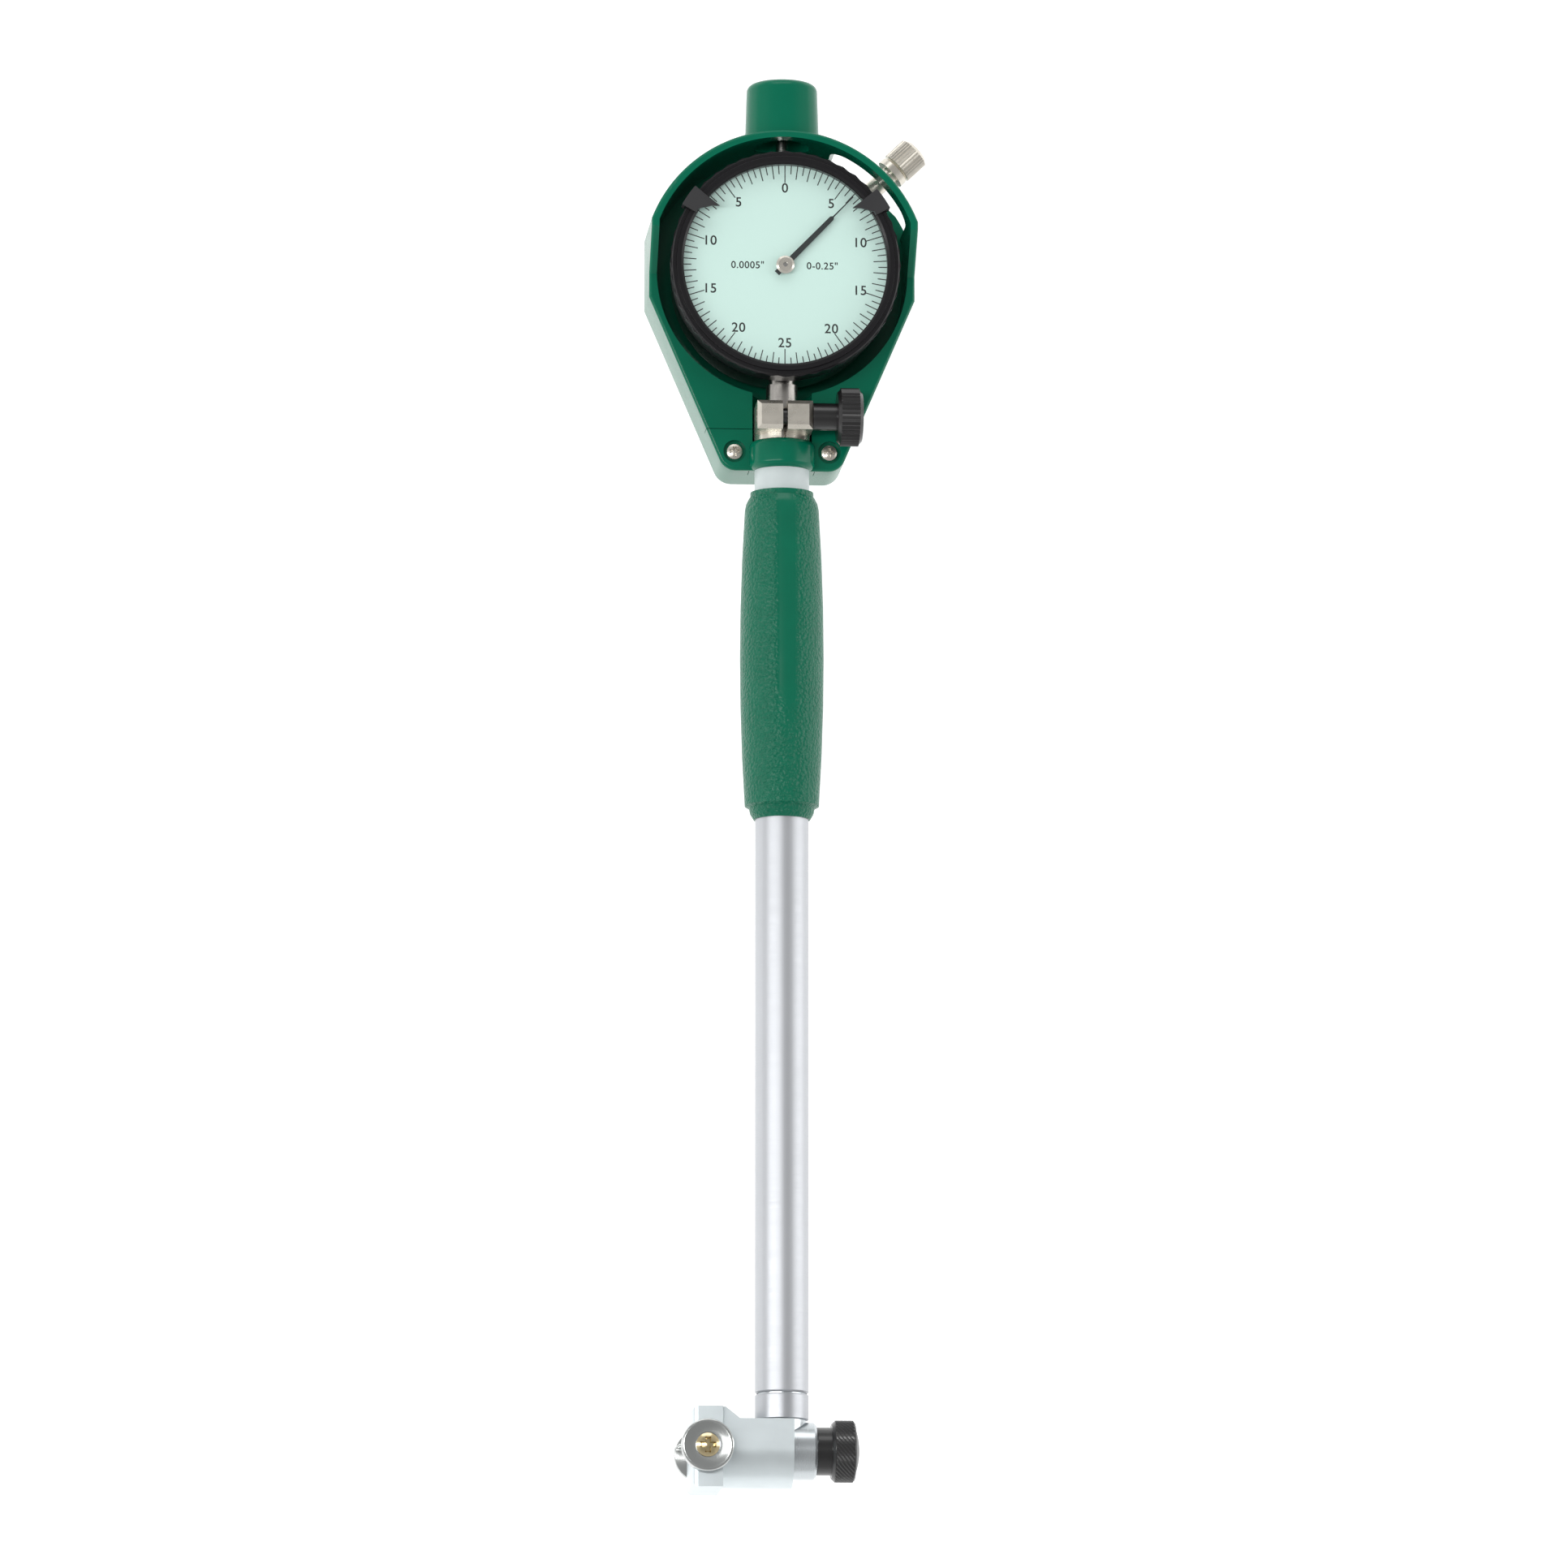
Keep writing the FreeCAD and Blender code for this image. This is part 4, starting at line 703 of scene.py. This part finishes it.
@dataclass
class Indicator(SubAssembly):
    """Case, stem, movement, bezel, dial, hand and markers."""

    dial_rise: float = 10.0
    tick_count: int = 100
    tick_outer: float = 25.5
    tick_inner: tuple[float, float, float] = (21.1, 22.1, 23.3)
    tick_width: float = 0.24
    number_radius: float = 19.65
    number_size: float = 3.35
    small_size: float = 2.5
    small_offset: float = 9.3
    ink_mm: float = 0.02
    stroke_share: float = 0.011
    letter_space: float = 1.08

    def build(self) -> None:
        """Refines the outside pieces, prints the dial and dresses the movement."""
        for node in ("indicator_case", "indicator_back"):
            self.bench.refine(node, Finishes.CASE, 0.1)
        self.bench.refine("stem", Finishes.STEM)
        self.bench.refine("bezel", Finishes.RING, 0.08, 20.0)
        self.bench.refine("dial_face", Finishes.DIAL)
        self.bench.refine("crystal", Finishes.CRYSTAL)
        self.bench.refine("pointer", Finishes.HAND)
        self.bench.refine("pointer_hub", Finishes.NICKEL)
        for side in ("left", "right"):
            self.bench.refine("tolerance_marker_" + side, Finishes.MARKER, 0.1)
        self.bench.refine("bezel_clamp_screw", Finishes.NICKEL, 0.06, 20.0)
        for node in ("top_bush", "bezel_clamp_bush", "contact_point", "spindle_cap"):
            self.bench.refine(node, Finishes.NICKEL)
        self.bench.refine("back_screws", Finishes.CHROME)
        for node in ("spindle", "spindle_spring", "rack_pinion", "rack_arbor", "take_up_arbor", "centre_pinion",
                     "pointer_arbor"):
            self.bench.dress(node, Finishes.STEEL)
        for node in ("rack_gear", "take_up_gear", "rear_plate", "middle_plate", "front_plate", "movement_pillars"):
            self.bench.dress(node, Finishes.BRASS)
        self.print_ticks()
        self.print_numbers()

    def dial_top(self) -> float:
        """Returns the height of the dial's printed face, in millimetres."""
        return self.axis_z + self.dial_rise

    def print_ticks(self) -> None:
        """Prints the graduations: a long line each 5, a middle one each 1, a short one between."""
        mesh = bmesh.new()
        for index in range(self.tick_count):
            kind = 0 if index % 10 == 0 else (1 if index % 2 == 0 else 2)
            inner = self.tick_inner[kind]
            length = self.tick_outer - inner
            size = Matrix.Diagonal((self.tick_width * MM, length * MM, self.ink_mm * MM, 1.0))
            middle = Vector((0.0, inner + length / 2, self.dial_top() + self.ink_mm / 2)) * MM
            turn = Matrix.Rotation(-math.tau * index / self.tick_count, 4, "Z")
            bmesh.ops.create_cube(mesh, size=1.0, matrix=turn @ Matrix.Translation(middle) @ size)
        self.bench.piece(mesh, "dial_graduations", "bezel_body", Finishes.INK)

    def letter(self, mesh: bmesh.types.BMesh, words: str, size: float, x: float, y: float) -> None:
        """Adds printed characters to a mesh, centred on a point of the dial."""
        curve = bpy.data.curves.new("print", "FONT")
        curve.body = words
        curve.size = size * MM
        curve.align_x = "CENTER"
        curve.align_y = "CENTER"
        curve.extrude = self.ink_mm * MM / 2
        curve.offset = self.stroke_share * size * MM
        curve.space_character = self.letter_space
        item = bpy.data.objects.new("print", curve)
        bpy.context.scene.collection.objects.link(item)
        graph = bpy.context.evaluated_depsgraph_get()
        data = bpy.data.meshes.new_from_object(item.evaluated_get(graph))
        data.transform(Matrix.Translation(Vector((x, y, self.dial_top() + self.ink_mm / 2)) * MM))
        mesh.from_mesh(data)
        bpy.data.objects.remove(item)

    def print_numbers(self) -> None:
        """Prints 0 to 25 down both sides, the graduation and the range."""
        mesh = bmesh.new()
        for number in range(0, 30, 5):
            angle = math.tau * number / 50
            for side in ((1,) if number in (0, 25) else (-1, 1)):
                self.letter(mesh, str(number), self.number_size, side * self.number_radius * math.sin(angle),
                            self.number_radius * math.cos(angle))
        self.letter(mesh, '0.0005"', self.small_size, -self.small_offset, 0.0)
        self.letter(mesh, '0-0.25"', self.small_size, self.small_offset, 0.0)
        bmesh.ops.remove_doubles(mesh, verts=mesh.verts[:], dist=1e-7)
        self.bench.piece(mesh, "dial_numbers", "bezel_body", Finishes.INK)


# ------------------------------------------------------------------ studio


@dataclass
class Studio:
    """Floor, light and camera."""

    aim: tuple[float, float, float] = (0.55, -128.85, 17.5)
    distance: float = 2700.0
    look: tuple[float, float, float] = (-0.0774, -0.1650, 0.9833)
    up: tuple[float, float, float] = (-0.013, 0.986, 0.165)
    lens_mm: float = 250.6
    floor_drop: float = 60.0
    floor_glow: float = 0.45

    def build(self) -> None:
        """Sets up the whole studio."""
        self.floor()
        self.world()
        self.lights()
        self.camera()

    def floor(self) -> None:
        """Lays a wide pale sheet under the gauge."""
        mesh = bmesh.new()
        bmesh.ops.create_grid(mesh, x_segments=1, y_segments=1, size=4.0)
        bmesh.ops.translate(mesh, verts=mesh.verts[:], vec=(0, 0, -self.floor_drop * MM))
        data = bpy.data.meshes.new("floor")
        mesh.to_mesh(data)
        mesh.free()
        shader = Shader("pale_floor")
        shader.set("Base Color", rgba((0.93, 0.93, 0.93)))
        shader.set("Roughness", 0.9)
        shader.set("Emission Color", rgba((1.0, 1.0, 1.0)))
        shader.set("Emission Strength", self.floor_glow)
        data.materials.append(shader.material)
        item = bpy.data.objects.new("floor", data)
        bpy.context.scene.collection.objects.link(item)

    def world(self) -> None:
        """Makes a room that is bright round the horizon and darker overhead."""
        world = bpy.data.worlds.new("room")
        bpy.context.scene.world = world
        world.use_nodes = True
        tree = world.node_tree
        background = tree.nodes["Background"]
        place = tree.nodes.new("ShaderNodeTexCoord")
        split = tree.nodes.new("ShaderNodeSeparateXYZ")
        ramp = tree.nodes.new("ShaderNodeValToRGB")
        tree.links.new(place.outputs["Generated"], split.inputs[0])
        tree.links.new(split.outputs["Z"], ramp.inputs[0])
        tree.links.new(ramp.outputs[0], background.inputs["Color"])
        stops = ((0.0, 1.0), (0.52, 0.85), (0.8, 0.5), (1.0, 0.42))
        while len(ramp.color_ramp.elements) < len(stops):
            ramp.color_ramp.elements.new(0.5)
        for element, (place_at, level) in zip(ramp.color_ramp.elements, stops):
            element.position = place_at
            element.color = (level, level, level, 1.0)
        background.inputs["Strength"].default_value = 0.75

    def light(self, name: str, place: tuple[float, float, float], size: tuple[float, float], power: float) -> None:
        """Hangs one soft light that faces the gauge.

        Args:
            name: the light's name.
            place: where it hangs, in metres from the aim.
            size: its width and height, in metres.
            power: its power, in watts.
        """
        lamp = bpy.data.lights.new(name, "AREA")
        lamp.shape = "RECTANGLE"
        lamp.size, lamp.size_y = size
        lamp.energy = power
        item = bpy.data.objects.new(name, lamp)
        bpy.context.scene.collection.objects.link(item)
        aim = Vector(self.aim) * MM
        item.location = aim + Vector(place)
        item.rotation_euler = (aim - item.location).to_track_quat("-Z", "Y").to_euler()

    def lights(self) -> None:
        """Hangs a long soft light on the left and a weaker one on the right."""
        self.light("left_softbox", (-0.74, 0.0, 1.1), (0.2, 1.5), 7.5)
        self.light("right_softbox", (1.45, 0.1, 0.5), (0.5, 1.4), 5.0)
        self.light("top_softbox", (-0.1, 1.5, 0.9), (1.4, 0.7), 5.0)

    def camera(self) -> None:
        """Puts the camera at the reader's place."""
        data = bpy.data.cameras.new("camera")
        data.lens = self.lens_mm
        data.sensor_width = 36.0
        item = bpy.data.objects.new("camera", data)
        bpy.context.scene.collection.objects.link(item)
        back = Vector(self.look).normalized()
        up = (Vector(self.up) - Vector(self.up).dot(back) * back).normalized()
        right = up.cross(back)
        place = (Vector(self.aim) + back * self.distance) * MM
        item.matrix_world = Matrix.Translation(place) @ Matrix((right, up, back)).transposed().to_4x4()
        bpy.context.scene.camera = item
        bpy.context.scene.view_settings.view_transform = "Standard"


def main() -> None:
    """Builds every sub-assembly and the studio."""
    logging.basicConfig(level=logging.INFO, format="%(name)s: %(message)s")
    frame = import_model()
    bench = Bench(frame)
    for group in (Housing, StemClamp, Handle, MeasuringHead, Indicator):
        group(bench).build()
        LOG.info("%s is finished", group.__name__)
    Studio().build()


if __name__ == "__main__":
    main()
